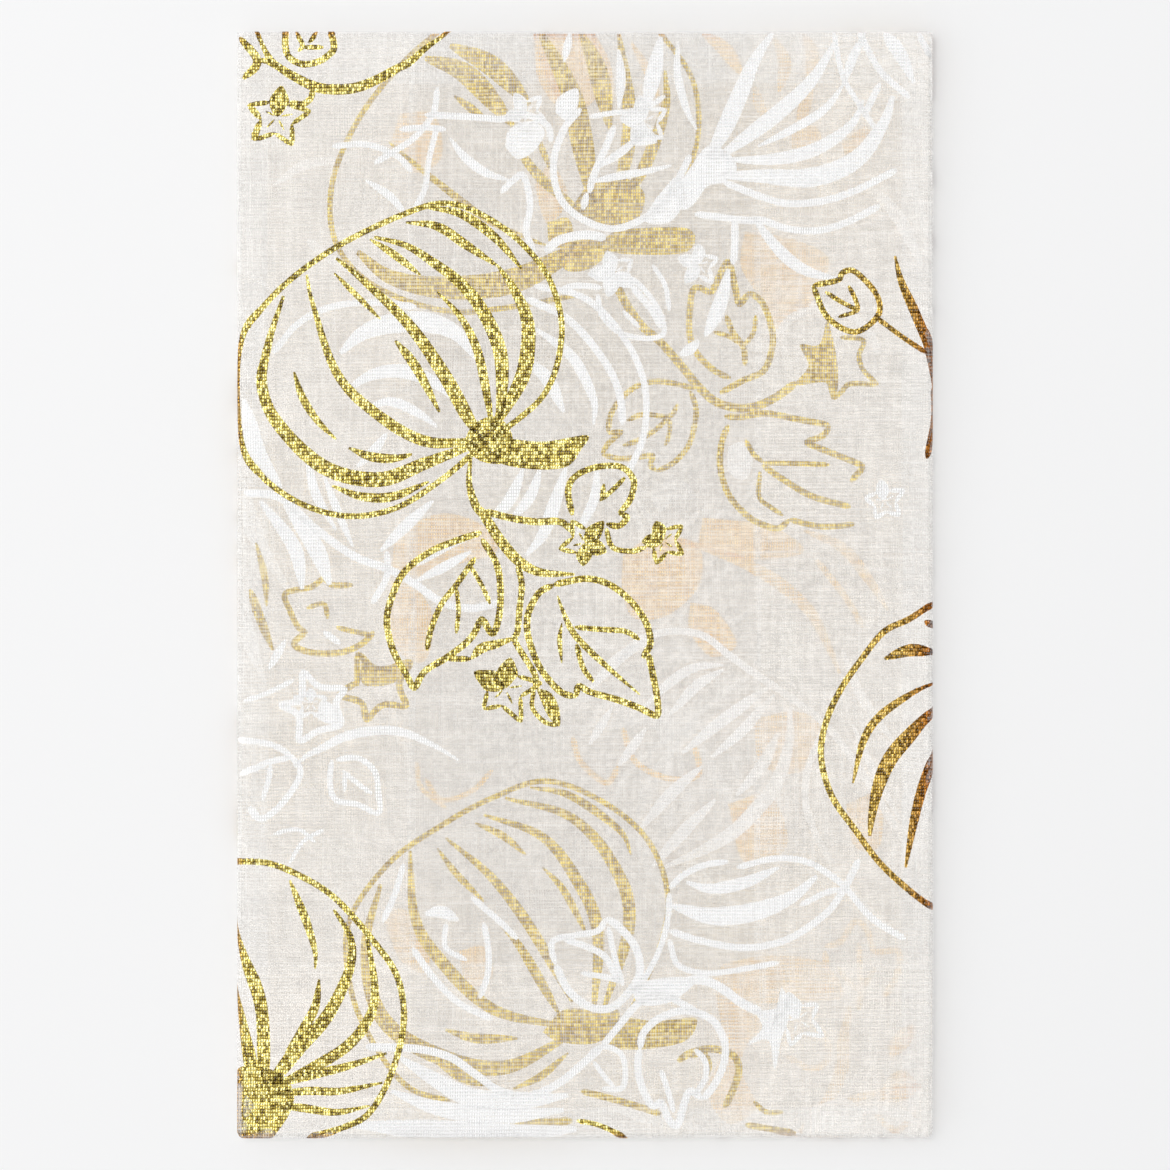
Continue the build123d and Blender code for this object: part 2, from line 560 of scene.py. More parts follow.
SEAM = 7.0 * MM
HEM = 12.0 * MM
NEST = 0.25 * MM              # how much each ply lies inside the one round it
SIDE_FOOT = 130.4 * MM        # how far down a side sheet reaches
SIDE_MITRE = 89.0 * MM        # below this a side sheet has no crease, because the base folds there
MITRE_OVERLAP = 0.45 * MM     # how much further in it reaches there,
MITRE_EASE = 3 * MM           # and how soon
SIDE_COLUMNS = 12
BASE_END = 82.3 * MM          # how far out a base sheet reaches
LEVEL = {side: (0.0, 0.0) for side in ("left", "right", "bottom", "top")}
ROLLS = {                     # the (reach, drop) in millimetres of each ply's rounded edges
    "outer": {"left": (5.2, 1.9), "right": (1.5, 1.3), "bottom": (1.4, 1.2), "top": (1.1, 0.4)},
    "interlining": {"left": (4.5, 1.1), "right": (1.2, 0.9), "bottom": (1.2, 0.9), "top": (0, 0)},
    "lining": {"left": (3.9, 0.5), "right": (1.0, 0.5), "bottom": (1.0, 0.5), "top": (0, 0)},
}
SHADOW_PLY = "back_outer_cloth"
DEPTH = {"outer": 0, "interlining": 1, "lining": 2}

sheets = {}                   # sheet name -> (piece, flat, held, rests_on)
riders = {}                   # sheet name -> the pieces that go with it


def add_piece(piece, body, owner=None):
    """A piece that rides on a body and goes with a sheet, or is a sheet itself."""
    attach(piece, body)
    if owner:
        riders.setdefault(owner, []).append(piece)
    return piece


def lit_through(piece):
    """Sheer cloth passes the light on, so that only the ply on the floor casts a shadow."""
    piece.visible_shadow = piece.name == SHADOW_PLY


def add_sheet(piece, node, body, flat, held, rests_on):
    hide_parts(node)
    add_piece(piece, body)
    sheets[piece.name] = (piece, flat, held, rests_on)


def make_wall(wall, seed):
    """The plies of the front or back wall, by kind."""
    body = f"{wall}_wall"
    face = 1 if wall == "front" else -1
    rests_on = ["back_lining_cloth"] if wall == "front" else ["floor"]
    plies = {}
    for kind, depth in DEPTH.items():
        edges = {side: (reach * MM, drop * MM) for side, (reach, drop) in ROLLS[kind].items()}
        inset = NEST * depth
        height = middle_of(f"{wall}_{kind}")
        ply = Ply("", height, edges, face, HALF_WIDTH - inset, HALF_HEIGHT - inset, seed + depth)
        plies[kind] = ply
        right, top = ply.half
        if kind != "interlining":
            ply.name = f"{wall}_{kind}_cloth"
            piece = panel(ply, -right, -top, right, top, SHEER[f"{wall}_{kind}"])
            add_sheet(piece, f"{wall}_{kind}", body, (2 * right, 2 * top), "laid", rests_on)
            continue
        inner_right, inner_bottom, hem = right - SEAM, -top + SEAM, top - HEM
        owner = ply.name = f"{wall}_interlining_cloth"
        piece = panel(ply, -inner_right, inner_bottom, inner_right, hem, SHEER[f"{wall}_{kind}"])
        size = (2 * inner_right, hem - inner_bottom)
        add_sheet(piece, f"{wall}_interlining", body, size, "laid", rests_on)
        ply.name = f"{wall}_mouth_hem_cloth"
        piece = panel(ply, -right, hem, right, top, SHEER["turned"])
        add_sheet(piece, f"{wall}_mouth_hem", body, (2 * right, HEM), "folded", rests_on)
        for name, corners in {
            "left_seam_allowance": (-right, -top, -inner_right, hem),
            "right_seam_allowance": (inner_right, -top, right, hem),
            "bottom_seam_allowance": (-inner_right, -top, inner_right, inner_bottom),
        }.items():
            ply.name = f"{wall}_{name}_cloth"
            piece = panel(ply, *corners, SHEER["turned"])
            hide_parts(f"{wall}_{name}")
            add_piece(piece, body, owner)
    return plies


def gusset_ply(node):
    """A level ply of a side or of the base."""
    return Ply(f"{node}_cloth", middle_of(node), LEVEL, 1, HALF_WIDTH, HALF_HEIGHT, len(sheets))


def make_side_half(side, half):
    """The plies of one half of a side, level between the walls."""
    body = f"{side}_{half}"
    sign = -1 if side == "left" else 1
    for kind in ("outer", "lining", "mouth_hem"):
        node = f"{body}_{kind}"
        low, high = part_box(node)
        ply = gusset_ply(node)
        inner, outer = sorted((abs(low[0]), abs(high[0])))
        foot = low[1] if kind == "mouth_hem" else -SIDE_FOOT
        rows = []
        for v in spaced_line(foot, high[1], 0, 0):
            grown = min(1, max(0, (-SIDE_MITRE - v) / MITRE_EASE))
            line = np.linspace(sign * (inner - MITRE_OVERLAP * grown), sign * outer, SIDE_COLUMNS)
            rows.append([ply.place(u, v) for u in sorted(line)])
        piece = grid_object(ply.name, rows, SHEER["side"])
        add_sheet(piece, node, body, (outer - inner, high[1] - foot), "folded", ["back_lining_cloth"])


def make_base_half(half):
    """The plies of one half of the base."""
    body = f"bottom_{half}"
    for kind in ("outer", "lining"):
        node = f"{body}_{kind}"
        low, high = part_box(node)
        ply = gusset_ply(node)
        piece = panel(ply, -BASE_END, low[1], BASE_END, high[1], SHEER["side"])
        flat = (2 * BASE_END, high[1] - low[1])
        add_sheet(piece, node, body, flat, "folded", ["back_lining_cloth"])


# ---------------------------------------------------------------- folds

FOLD_STEPS = 8
FOLD_ROW = 4 * MM             # between the rows of a fold, along it
FOLD_TOP = HALF_HEIGHT - 0.2 * MM


def make_fold(name, profile, start, end, along, bodies, owner):
    """A strip of cloth across a fold: profile is its (across, height) points, drawn out from start
    to end. along is "y" for a fold that runs up the bag, and "x" for one across it. With two
    bodies it stays fixed where it is made and rides on neither, and with one it rides on that body, the end
    of a loop that is left open."""
    stations = np.linspace(start, end, max(2, round((end - start) / FOLD_ROW)) + 1)
    rows = [[(a, s, h) if along == "y" else (s, a, h) for a, h in profile] for s in stations]
    piece = grid_object(name, rows, SHEER["front_lining" if "lining" in name else "front_outer"])
    if len(bodies) == 2:
        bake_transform(piece)
    else:
        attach(piece, bodies[0])
    riders.setdefault(owner, []).append(piece)


def quarter(edge, height, inner, inner_height):
    """A quarter turn that leaves a wall's edge upright and ends level at the gusset."""
    angles = np.linspace(0, math.pi / 2, FOLD_STEPS + 1)
    return [
        (inner + (edge - inner) * math.cos(t), height + (inner_height - height) * math.sin(t))
        for t in angles
    ]


def half_turn(across, low, high, outward):
    """A crease: a half turn from low to high that bulges outward, 1 or -1."""
    radius = (high - low) / 2
    angles = np.linspace(-math.pi / 2, math.pi / 2, 2 * FOLD_STEPS + 1)
    middle = (low + high) / 2
    return [(across + outward * radius * math.cos(t), middle + radius * math.sin(t)) for t in angles]


def edge_of(ply, side, axis):
    """The (across, height) of a wall ply's edge, on its folded side."""
    sign = -1 if side in ("left", "bottom") else 1
    return sign * ply.half[axis], ply.height - ply.face * ply.edges[side][1]


def make_folds(walls):
    """The folds where each wall meets a side or the base, and the creases between their halves."""
    halves = {"front": "fore", "back": "rear"}
    for kind in ("outer", "lining"):
        for side, sign in (("left", -1), ("right", 1)):
            for wall, half in halves.items():
                node = f"{side}_{half}_{kind}"
                outer = sign * max(abs(c[0]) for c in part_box(node))
                profile = quarter(*edge_of(walls[wall][kind], side, 0), outer, middle_of(node))
                bodies = [f"{wall}_wall", f"{side}_{half}"]
                if (wall, side) == ("front", "right"):
                    bodies = ["front_wall"]
                elif wall == "front":
                    profile = profile[::-1]
                    bodies = bodies[::-1]
                make_fold(f"{wall}_{side}_{kind}_fold", profile, -HALF_HEIGHT + CORNER, FOLD_TOP, "y",
                          bodies, f"{wall}_{kind}_cloth")
            rear, fore = f"{side}_rear_{kind}", f"{side}_fore_{kind}"
            inner = sign * min(abs(c[0]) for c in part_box(rear))
            profile = half_turn(inner, middle_of(rear), middle_of(fore), -sign)
            make_fold(f"{side}_{kind}_crease", profile, -SIDE_MITRE, FOLD_TOP, "y",
                      [f"{side}_rear", f"{side}_fore"], f"{rear}_cloth")
        for wall, half in halves.items():
            node = f"bottom_{half}_{kind}"
            profile = quarter(*edge_of(walls[wall][kind], "bottom", 1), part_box(node)[0][1], middle_of(node))
            bodies = ["front_wall"] if wall == "front" else ["back_wall", "bottom_rear"]
            make_fold(f"{wall}_bottom_{kind}_fold", profile, -HALF_WIDTH + CORNER, HALF_WIDTH - CORNER, "x",
                      bodies, f"{wall}_{kind}_cloth")
        rear, fore = f"bottom_rear_{kind}", f"bottom_fore_{kind}"
        profile = half_turn(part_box(rear)[1][1], middle_of(rear), middle_of(fore), 1)
        make_fold(f"bottom_{kind}_crease", profile, -BASE_END, BASE_END, "x",
                  ["bottom_rear", "bottom_fore"], f"{rear}_cloth")


walls = {"front": make_wall("front", 21), "back": make_wall("back", 31)}
for half in ("rear", "fore"):
    make_side_half("left", half)
    make_side_half("right", half)
    make_base_half(half)
make_folds(walls)


# ---------------------------------------------------------------- print strokes


def curve(points, step=0.5):
    """A smooth line through the points, at steps of about step."""
    p = np.array(points, float)
    if len(p) == 2:
        p = np.array([p[0], (p[0] + p[1]) / 2, p[1]])
    ends = np.vstack([2 * p[0] - p[1], p, 2 * p[-1] - p[-2]])
    line = []
    for a, b, c, d in zip(ends, ends[1:], ends[2:], ends[3:]):
        count = max(2, round(float(np.linalg.norm(c - b)) / step))
        for t in np.linspace(0, 1, count, endpoint=False):
            line.append(0.5 * (2 * b + (c - a) * t + (2 * a - 5 * b + 4 * c - d) * t * t
                               + (3 * b - a - 3 * c + d) * t ** 3))
    line.append(ends[-2])
    return np.array(line)


class Art:
    """Strokes and fills, in millimetres on the flat bag, that become one mesh on a ply."""

    def __init__(self, seed):
        self.chance = random.Random(seed)
        self.strips = []
        self.fills = []

    def place(self, points, at, turn, size, flip):
        a = math.radians(turn)
        out = []
        for x, y in points:
            x = -x if flip else x
            out.append((at[0] + size * (x * math.cos(a) - y * math.sin(a)),
                        at[1] + size * (x * math.sin(a) + y * math.cos(a))))
        return out

    def stroke(self, width, points, lean=None, at=(0, 0), turn=0, size=1, flip=False):
        """A line of even width, or with lean (0 to 1) a brush mark, widest at that share of it."""
        line = curve(self.place(points, at, turn, size, flip))
        steps = np.linalg.norm(np.diff(line, axis=0), axis=1)
        along = np.concatenate([[0], np.cumsum(steps)])
        long = along[-1]
        share = along / long
        if lean is None:
            taper = np.minimum(1, np.minimum(along, long - along) / 1.2 * 0.6 + 0.4)
            widths = width * size ** 0.5 * taper
        else:
            bent = np.where(share < lean, share / lean / 2, 0.5 + (share - lean) / (1 - lean) / 2)
            widths = width * size ** 0.5 * (0.22 + 0.78 * np.sin(math.pi * bent) ** 0.9)
        jitter = np.array([self.chance.uniform(-0.07, 0.07) for _ in line])
        self.strips.append((line, np.maximum(widths + jitter, 0.2)))

    def fill(self, points, at=(0, 0), turn=0, size=1, flip=False):
        """A solid shape, drawn as a smooth closed line that its middle can see all of."""
        placed = self.place(points, at, turn, size, flip)
        self.fills.append(curve(placed + [placed[0]], 0.8))


def print_object(name, art, ply, lift, material):
    """The art as a mesh that lies on a ply and bends round its edges with it."""
    points, faces = [], []
    for line, widths in art.strips:
        tangent = np.gradient(line, axis=0)
        tangent /= np.maximum(np.linalg.norm(tangent, axis=1), 1e-9)[:, None]
        side = np.stack([-tangent[:, 1], tangent[:, 0]], axis=1)
        start = len(points)
        for centre, across, width in zip(line, side, widths):
            for share in (-0.5, 0.0, 0.5):
                points.append(tuple(centre + across * width * share))
        for i in range(len(line) - 1):
            for k in (0, 1):
                a = start + 3 * i + k
                faces.append((a, a + 3, a + 4, a + 1))
    for outline in art.fills:
        middle = outline.mean(axis=0)
        start = len(points)
        points.append(tuple(middle))
        rings = (0.35, 0.7, 1.0)
        count = len(outline) - 1
        for ring in rings:
            points.extend(tuple(middle + (p - middle) * ring) for p in outline[:-1])
        for i in range(count):
            j = (i + 1) % count
            faces.append((start, start + 1 + i, start + 1 + j))
            for r in range(len(rings) - 1):
                a = start + 1 + r * count
                faces.append((a + i, a + count + i, a + count + j, a + j))
    flat = mesh_object(name, [(x * MM, y * MM, 0) for x, y in points], faces, material)
    clip(flat, ply)
    for vertex in flat.data.vertices:
        vertex.co = ply.place(vertex.co.x, vertex.co.y, lift)
    flat.data.update()
    return flat


PRINT_MARGIN = 0.02 * MM


def clip(obj, ply):
    """Cuts the print off just inside the edges of its ply."""
    shape = bmesh.new()
    shape.from_mesh(obj.data)
    for axis, half in ((0, ply.half[0]), (1, ply.half[1])):
        for sign in (-1, 1):
            normal = [0, 0, 0]
            normal[axis] = sign
            point = [0, 0, 0]
            point[axis] = sign * (half - PRINT_MARGIN)
            parts = shape.verts[:] + shape.edges[:] + shape.faces[:]
            bmesh.ops.bisect_plane(shape, geom=parts, plane_co=point, plane_no=normal, clear_outer=True)
    shape.to_mesh(obj.data)
    shape.free()


# ---------------------------------------------------------------- motifs, in millimetres

# Each mark is (width, lean, points); lean None is an even line. The pumpkin's hub is at (0, 0).
PUMPKIN = [
    (1.4, None, [(3, 0), (15.5, 11), (19.5, 25), (17, 37), (11, 45.5), (2, 52.5), (-8, 56), (-19, 53),
                 (-35, 45), (-48, 35), (-55, 25), (-56.5, 10), (-54, -5), (-45.5, -13.5), (-33, -18),
                 (-20.5, -16.5), (-9, -9.5), (1, -1)]),
    (3.6, 0.66, [(-46.5, 34), (-50, 23), (-51.5, 13), (-48, 4), (-37, -6.5), (-24, -9.5), (-12.5, -5.5),
                 (2, 0)]),
    (2.7, 0.75, [(-41, 39), (-39.5, 32), (-34, 16), (-25, 6.5), (-12.5, -0.5), (2, 0)]),
    (1.9, 0.4, [(-44, 16), (-42, 10), (-38.5, 4.5), (-34, 0)]),
    (3.3, 0.8, [(-34, 43), (-28, 38), (-17, 27.5), (-8.5, 15.5), (-2, 4), (2, 0)]),
    (1.4, 0.5, [(-34.5, 39.5), (-29, 34), (-23.5, 28.5)]),
    (2.4, 0.35, [(-20, 23.5), (-15, 17), (-9.5, 6.5)]),
    (3.3, 0.7, [(-25, 48), (-17.5, 46), (-11, 42), (-4.5, 37), (1, 30), (5, 20), (5, 8), (3, 2)]),
    (1.9, 0.5, [(-26, 47.5), (-20.5, 44), (-14, 39)]),
    (2.2, 0.6, [(-10, 35), (-4.5, 29), (-0.5, 21), (2, 9), (3, 2)]),
    (3.6, 0.6, [(4.5, 41), (8.5, 35), (11.5, 27), (10.5, 16), (6, 7), (3, 2)]),
    (2.3, 0.5, [(-12.5, 55), (-4.5, 53.5), (3.5, 48), (10, 40.5)]),
    (2.3, 0.5, [(-17.5, 51.5), (-10, 50.5), (-3, 46), (4.5, 41)]),
    (2.3, 0.5, [(-31, -2), (-26, -4), (-20.5, -4.5), (-16, -3.5)]),
    (2.3, 0.5, [(-35, -11), (-28, -13.5), (-20.5, -13.5), (-12, -10)]),
]
PUMPKIN_HUB = [(-4, -1), (-1.5, 3.5), (3, 5.5), (6.5, 3.5), (8, -1), (6, -5.5), (0, -5)]
PUMPKIN_STEM = [(5, 0.5), (15, -0.5), (25.5, 1), (24, -2.5), (20.5, -6.5), (12, -7), (4, -5)]

# A broad leaf with a notch near its tip and jagged veins; its stalk meets it at (0, 0).
BROAD_LEAF = [
    (1.6, None, [(0, 0), (-3.5, -2), (-6, -7), (-6, -12), (-4, -18), (-1.5, -22), (2, -25.5),
                 (5.5, -26.5)]),
    (1.6, None, [(5.5, -26.5), (6, -24), (9, -25.5), (14.5, -27), (20, -29), (25, -31.5)]),
    (1.6, None, [(25, -31.5), (24.5, -26), (23, -18.5), (22.5, -17), (21, -17)]),
    (1.6, None, [(21, -17), (23, -14), (22, -9), (18.5, -4), (13.5, 0), (8, 1.5), (2, 0.5), (0, 0)]),
    (1.6, 0.4, [(1, -2.5), (2, -5.5), (4.5, -11), (8.5, -15.5), (14, -20.5), (20.5, -26)]),
    (1.3, None, [(5, -10), (11, -10.5), (17, -11), (20.5, -13)]),
    (1.3, None, [(5.5, -14), (7, -19.5), (9.5, -23)]),
    (1.2, 0.5, [(2, -9), (1.5, -13), (2, -18.5)]),
]
# A heart-shaped leaf, wide at the stalk and split at the end.
HEART_LEAF = [
    (1.6, None, [(0, 0), (-6, -2), (-12, -4.5), (-18, -9), (-21, -14.5), (-22.5, -21), (-21, -28),
                 (-18, -33.5), (-16, -37.5)]),
    (1.6, None, [(-16, -37.5), (-13.5, -33), (-8, -29.5), (-2.5, -25), (0, -20)]),
    (1.6, None, [(0, -20), (2.5, -24), (4, -20.5), (4.5, -14), (3.5, -7.5), (0, -1.5)]),
    (1.4, None, [(-1.5, -6), (-6, -12.5), (-9.5, -17), (-12, -23), (-13, -28)]),
    (1.1, None, [(-3, -7.5), (0, -12.5), (2, -17)]),
    (1.1, None, [(-6, -13), (-5.5, -18.5), (-6, -24)]),
]
# A folded leaf bud, round with a notch and two veins.
BUD_LEAF = [
    (1.5, None, [(0, 0), (-1, 6), (1, 9.5), (6, 11.5), (11.5, 11.5), (14.5, 8.5), (14, 4.5), (12.5, 2),
                 (11, 0.5)]),
    (1.5, None, [(11, 0.5), (13, -0.5), (11, -2.5), (8, -2)]),
    (1.2, None, [(7, 3.5), (7.5, 7.5)]),
    (1.2, None, [(6.5, 3.5), (9.5, 6), (12.5, 9)]),
]
# A small closed bud, filled on one side.
BUD = [
    (1.1, None, [(0, 0), (-0.5, -4.5), (2.5, -8), (6, -8.8)]),
]
BUD_FILL = [(0.3, 0.2), (3.8, -1), (5.8, -4.5), (6, -8.8), (3.2, -6.5)]

# The two pumpkins of the lining: the top edge cuts one of them.
LINING_PUMPKINS = [
    (1.3, None, [(-34, 132), (-44, 123), (-54, 110), (-60, 95), (-59, 81), (-50, 71), (-33, 65),
                 (-17, 66), (-1, 69)]),
    (1.2, None, [(17, 132), (25, 121), (27, 110), (25, 100), (17, 86)]),
    (5.4, 0.6, [(-11, 132), (-3.5, 117), (-0.5, 104), (2, 90)]),
    (4.6, 0.5, [(-1, 131), (3, 122), (6, 108)]),
    (3.6, 0.6, [(8, 131), (10.5, 113), (10, 103), (7, 91)]),
    (3.0, 0.6, [(19, 122), (19, 113), (14, 99), (8, 90)]),
    (5.0, 0.5, [(-38, 125), (-28, 121), (-17, 109)]),
    (5.0, 0.5, [(-32, 128), (-22, 123), (-13, 114)]),
    (2.0, 0.5, [(-31, 116), (-23, 110)]),
    (2.5, 0.5, [(-18, 106), (-10, 96), (0, 88)]),
    (1.5, 0.5, [(-12, 108), (-8, 98)]),
    (1.8, 0.5, [(-46.5, 105), (-35, 95.5), (-22, 86), (-8, 80)]),
    (6.0, 0.6, [(-54, 79), (-46, 73), (-33, 70.5), (-16, 72.5), (2, 82)]),
    (1.3, None, [(-32, -122.5), (-42, -119), (-50, -109), (-55.5, -96), (-56, -80), (-46.5, -66),
                 (-34, -57),
                 (-22, -50.5), (-9.5, -46.5), (3.5, -51), (14.5, -60), (19.5, -72.5), (18, -85), (11, -101)]),
    (3.0, 0.5, [(-41.5, -63), (-40.5, -78), (-35.5, -87.5), (-22, -100.5), (-3, -105)]),
    (4.0, 0.6, [(-48.5, -71), (-52, -86), (-48.5, -102), (-36.5, -111), (-19.5, -114.5), (-2, -106)]),
    (1.7, 0.5, [(-35, -62.5), (-30.5, -68.5), (-24, -75)]),
    (2.6, 0.6, [(-33, -60), (-22, -69.5), (-12.5, -82), (-3, -99)]),
    (1.8, 0.5, [(-26, -56.5), (-19.5, -59.5), (-14, -64)]),
    (3.0, 0.6, [(-24, -54.5), (-10.5, -59.5), (-2.5, -69), (3, -82), (2, -102)]),
    (3.0, 0.6, [(-19, -50.5), (-3.5, -55), (6.5, -66), (10.5, -80), (4, -102)]),
    (2.0, 0.5, [(-13, -48), (-3.5, -50), (8, -58), (11, -64)]),
    (1.8, 0.5, [(-10, -67), (-5, -72.5), (0.5, -83)]),
    (2.4, 0.6, [(-20.5, -80), (-15, -86.5), (-6, -102)]),
    (2.4, 0.5, [(-33, -105.5), (-26, -107.5), (-16, -107.5)]),
    (2.4, 0.5, [(-35, -113.5), (-28.5, -117), (-21, -118.5)]),
    (1.8, 0.5, [(-17, -119.5), (-10.5, -116.5), (-4, -111)]),
]
# A round leaf with a torn side, an upright tulip-shaped leaf and a long torn leaf, where they
# lie on the lining.
LINING_VINE = [
    (2.0, None, [(5, 79), (8, 70), (13, 62), (17.5, 58), (22, 53), (27, 47), (31, 43.5), (36, 42),
                 (41, 42.5), (46, 45), (50, 48)]),
    (1.5, None, [(32, 45.5), (37.5, 48.5), (42.5, 51), (44.5, 57), (44, 62), (42, 67), (39, 69.5)]),
    (1.5, None, [(39, 69.5), (36.5, 66)]),
    (1.6, None, [(36.5, 66), (35.5, 71), (34, 76.5), (32, 73.5), (30, 69)]),
    (1.5, None, [(30, 69), (27, 70.5), (25.3, 69), (24.8, 60), (26.5, 55), (30.5, 51), (34.5, 49)]),
    (1.4, None, [(33.5, 64), (35, 60), (37.5, 56.5), (38, 52)]),
    (1.1, None, [(40.5, 64), (40, 60), (37.5, 56.5)]),
    (1.1, None, [(30.5, 60), (34, 59), (37, 57)]),
    (1.3, None, [(26, 46.5), (22.5, 47.5), (17, 48.3), (12, 47), (8, 43.5), (6, 40), (5.5, 36)]),
    (1.3, None, [(5.5, 36), (9, 36.5)]),
    (1.3, None, [(9, 36.5), (5.5, 33.5), (4, 31)]),
    (1.3, None, [(4, 31), (8, 30), (12, 30.2), (16.5, 31)]),
    (1.3, None, [(16.5, 31), (15.5, 28.5), (17, 27)]),
    (1.3, None, [(17, 27), (21, 29), (24.5, 33), (26, 38), (26.3, 42), (25, 46)]),
    (1.2, None, [(10, 39), (14, 40.5), (20, 40), (22, 43)]),
    (1.2, None, [(9, 33), (13, 34.5), (17, 37), (20, 40)]),
    (1.1, None, [(19, 33), (20, 36), (20, 40)]),
    (1.5, None, [(33, 40), (37.4, 39.9), (43, 40.7), (51, 39.2), (58, 38)]),
    (1.5, None, [(58, 38), (56.5, 35.5), (52, 33.8)]),
    (1.5, None, [(52, 33.8), (58, 31.5), (66.3, 28.2)]),
    (1.5, None, [(66.3, 28.2), (63, 24.5)]),
    (1.5, None, [(34, 38), (32.5, 34), (32, 29), (33, 24), (35, 20), (39, 16), (43, 14), (46, 13.5),
                 (48.5, 15.5)]),
    (1.4, None, [(48.5, 15.5), (55, 14), (60, 14), (64, 14.5)]),
    (1.2, None, [(38, 34.5), (40, 31), (42.5, 29)]),
    (1.2, None, [(42.5, 29), (50, 28.8), (58, 28.5)]),
    (1.5, None, [(42, 28.5), (47, 25), (54, 21), (63, 18.5)]),
    (1.1, None, [(41.5, 27), (41.3, 21), (44, 18.5), (47, 16.5)]),
    (1.2, None, [(60.5, 58.8), (66, 58), (65, 54.5), (66, 51), (69.5, 47.5)]),
    (1.2, None, [(69.5, 47.5), (63, 47.7), (61, 46), (59, 44)]),
    # the faint flower on the left, and the star that hangs from the next leaf
    (1.4, None, [(-55, 0), (-60, 0), (-62, 1.5), (-65, -0.5), (-71, -2), (-70, -6), (-68, -10),
                 (-66, -11)]),
    (1.5, None, [(-66, -11), (-69, -14), (-65, -16), (-58, -16), (-53, -14), (-50, -11)]),
    (1.2, None, [(-66, -5.5), (-62, -4.5), (-61, -8)]),
    (1.2, None, [(-59, -10), (-55, -11), (-50, -12)]),
    (2.2, 0.5, [(-79, -1), (-77, -8), (-74, -15.5)]),
    (1.7, 0.5, [(-78, 10), (-76, 2), (-75.5, -5)]),
    (1.5, None, [(-54, -24), (-54, -16)]),
    (1.5, None, [(-54, -16), (-49, -20), (-41, -18)]),
    (1.6, None, [(-41, -18), (-44, -23.5), (-42, -29)]),
    (1.5, None, [(-42, -29), (-48, -28.5), (-52, -32.5)]),
    (1.6, None, [(-52, -32.5), (-53, -28), (-58, -26), (-54, -23)]),
    # what hangs from the second pumpkin
    (1.6, None, [(-1, -120), (5, -121.5), (12, -123.5), (18, -125.5)]),
    (1.7, None, [(22, -113), (25, -111), (30, -110), (35, -111.5), (36.5, -115), (35, -120), (33, -124)]),
    (1.3, None, [(25, -112), (28, -111), (29.5, -114), (28, -118)]),
    (1.2, None, [(40, -122.5), (43, -125), (47, -125)]),
    (1.5, None, [(38, -128), (44, -129), (50, -130)]),
    (2.0, None, [(-20, -127), (-10, -127.5), (-3, -127)]),
]
LINING_FILLS = [
    [(-10, -106), (-5.5, -101), (0, -100.5), (8, -101), (5.5, -107), (0, -109), (-7, -108)],
    [(5, -110), (8, -103), (16.5, -103.5), (21, -103), (26.5, -103), (24, -108), (15, -110)],
    [(57.5, 63.5), (59.3, 56), (60, 50), (59.8, 46), (58.5, 44), (57, 48), (50, 47.5), (53, 52),
     (51, 57), (55.5, 57)],
    [(-53, -17), (-48, -20), (-43, -19), (-45, -23), (-50, -24), (-53, -23)],
    [(-4, 88), (1, 95), (8, 97), (14, 93), (12, 86), (5, 84)],
    [(3, 80), (8, 84), (24.5, 84.5), (24, 79), (10, 78.5)],
    [(-9, 86), (-4, 87), (-3, 82), (-8, 80)],
    [(-6, 82), (2, 84), (5, 79), (1, 75), (-5, 75)],
]

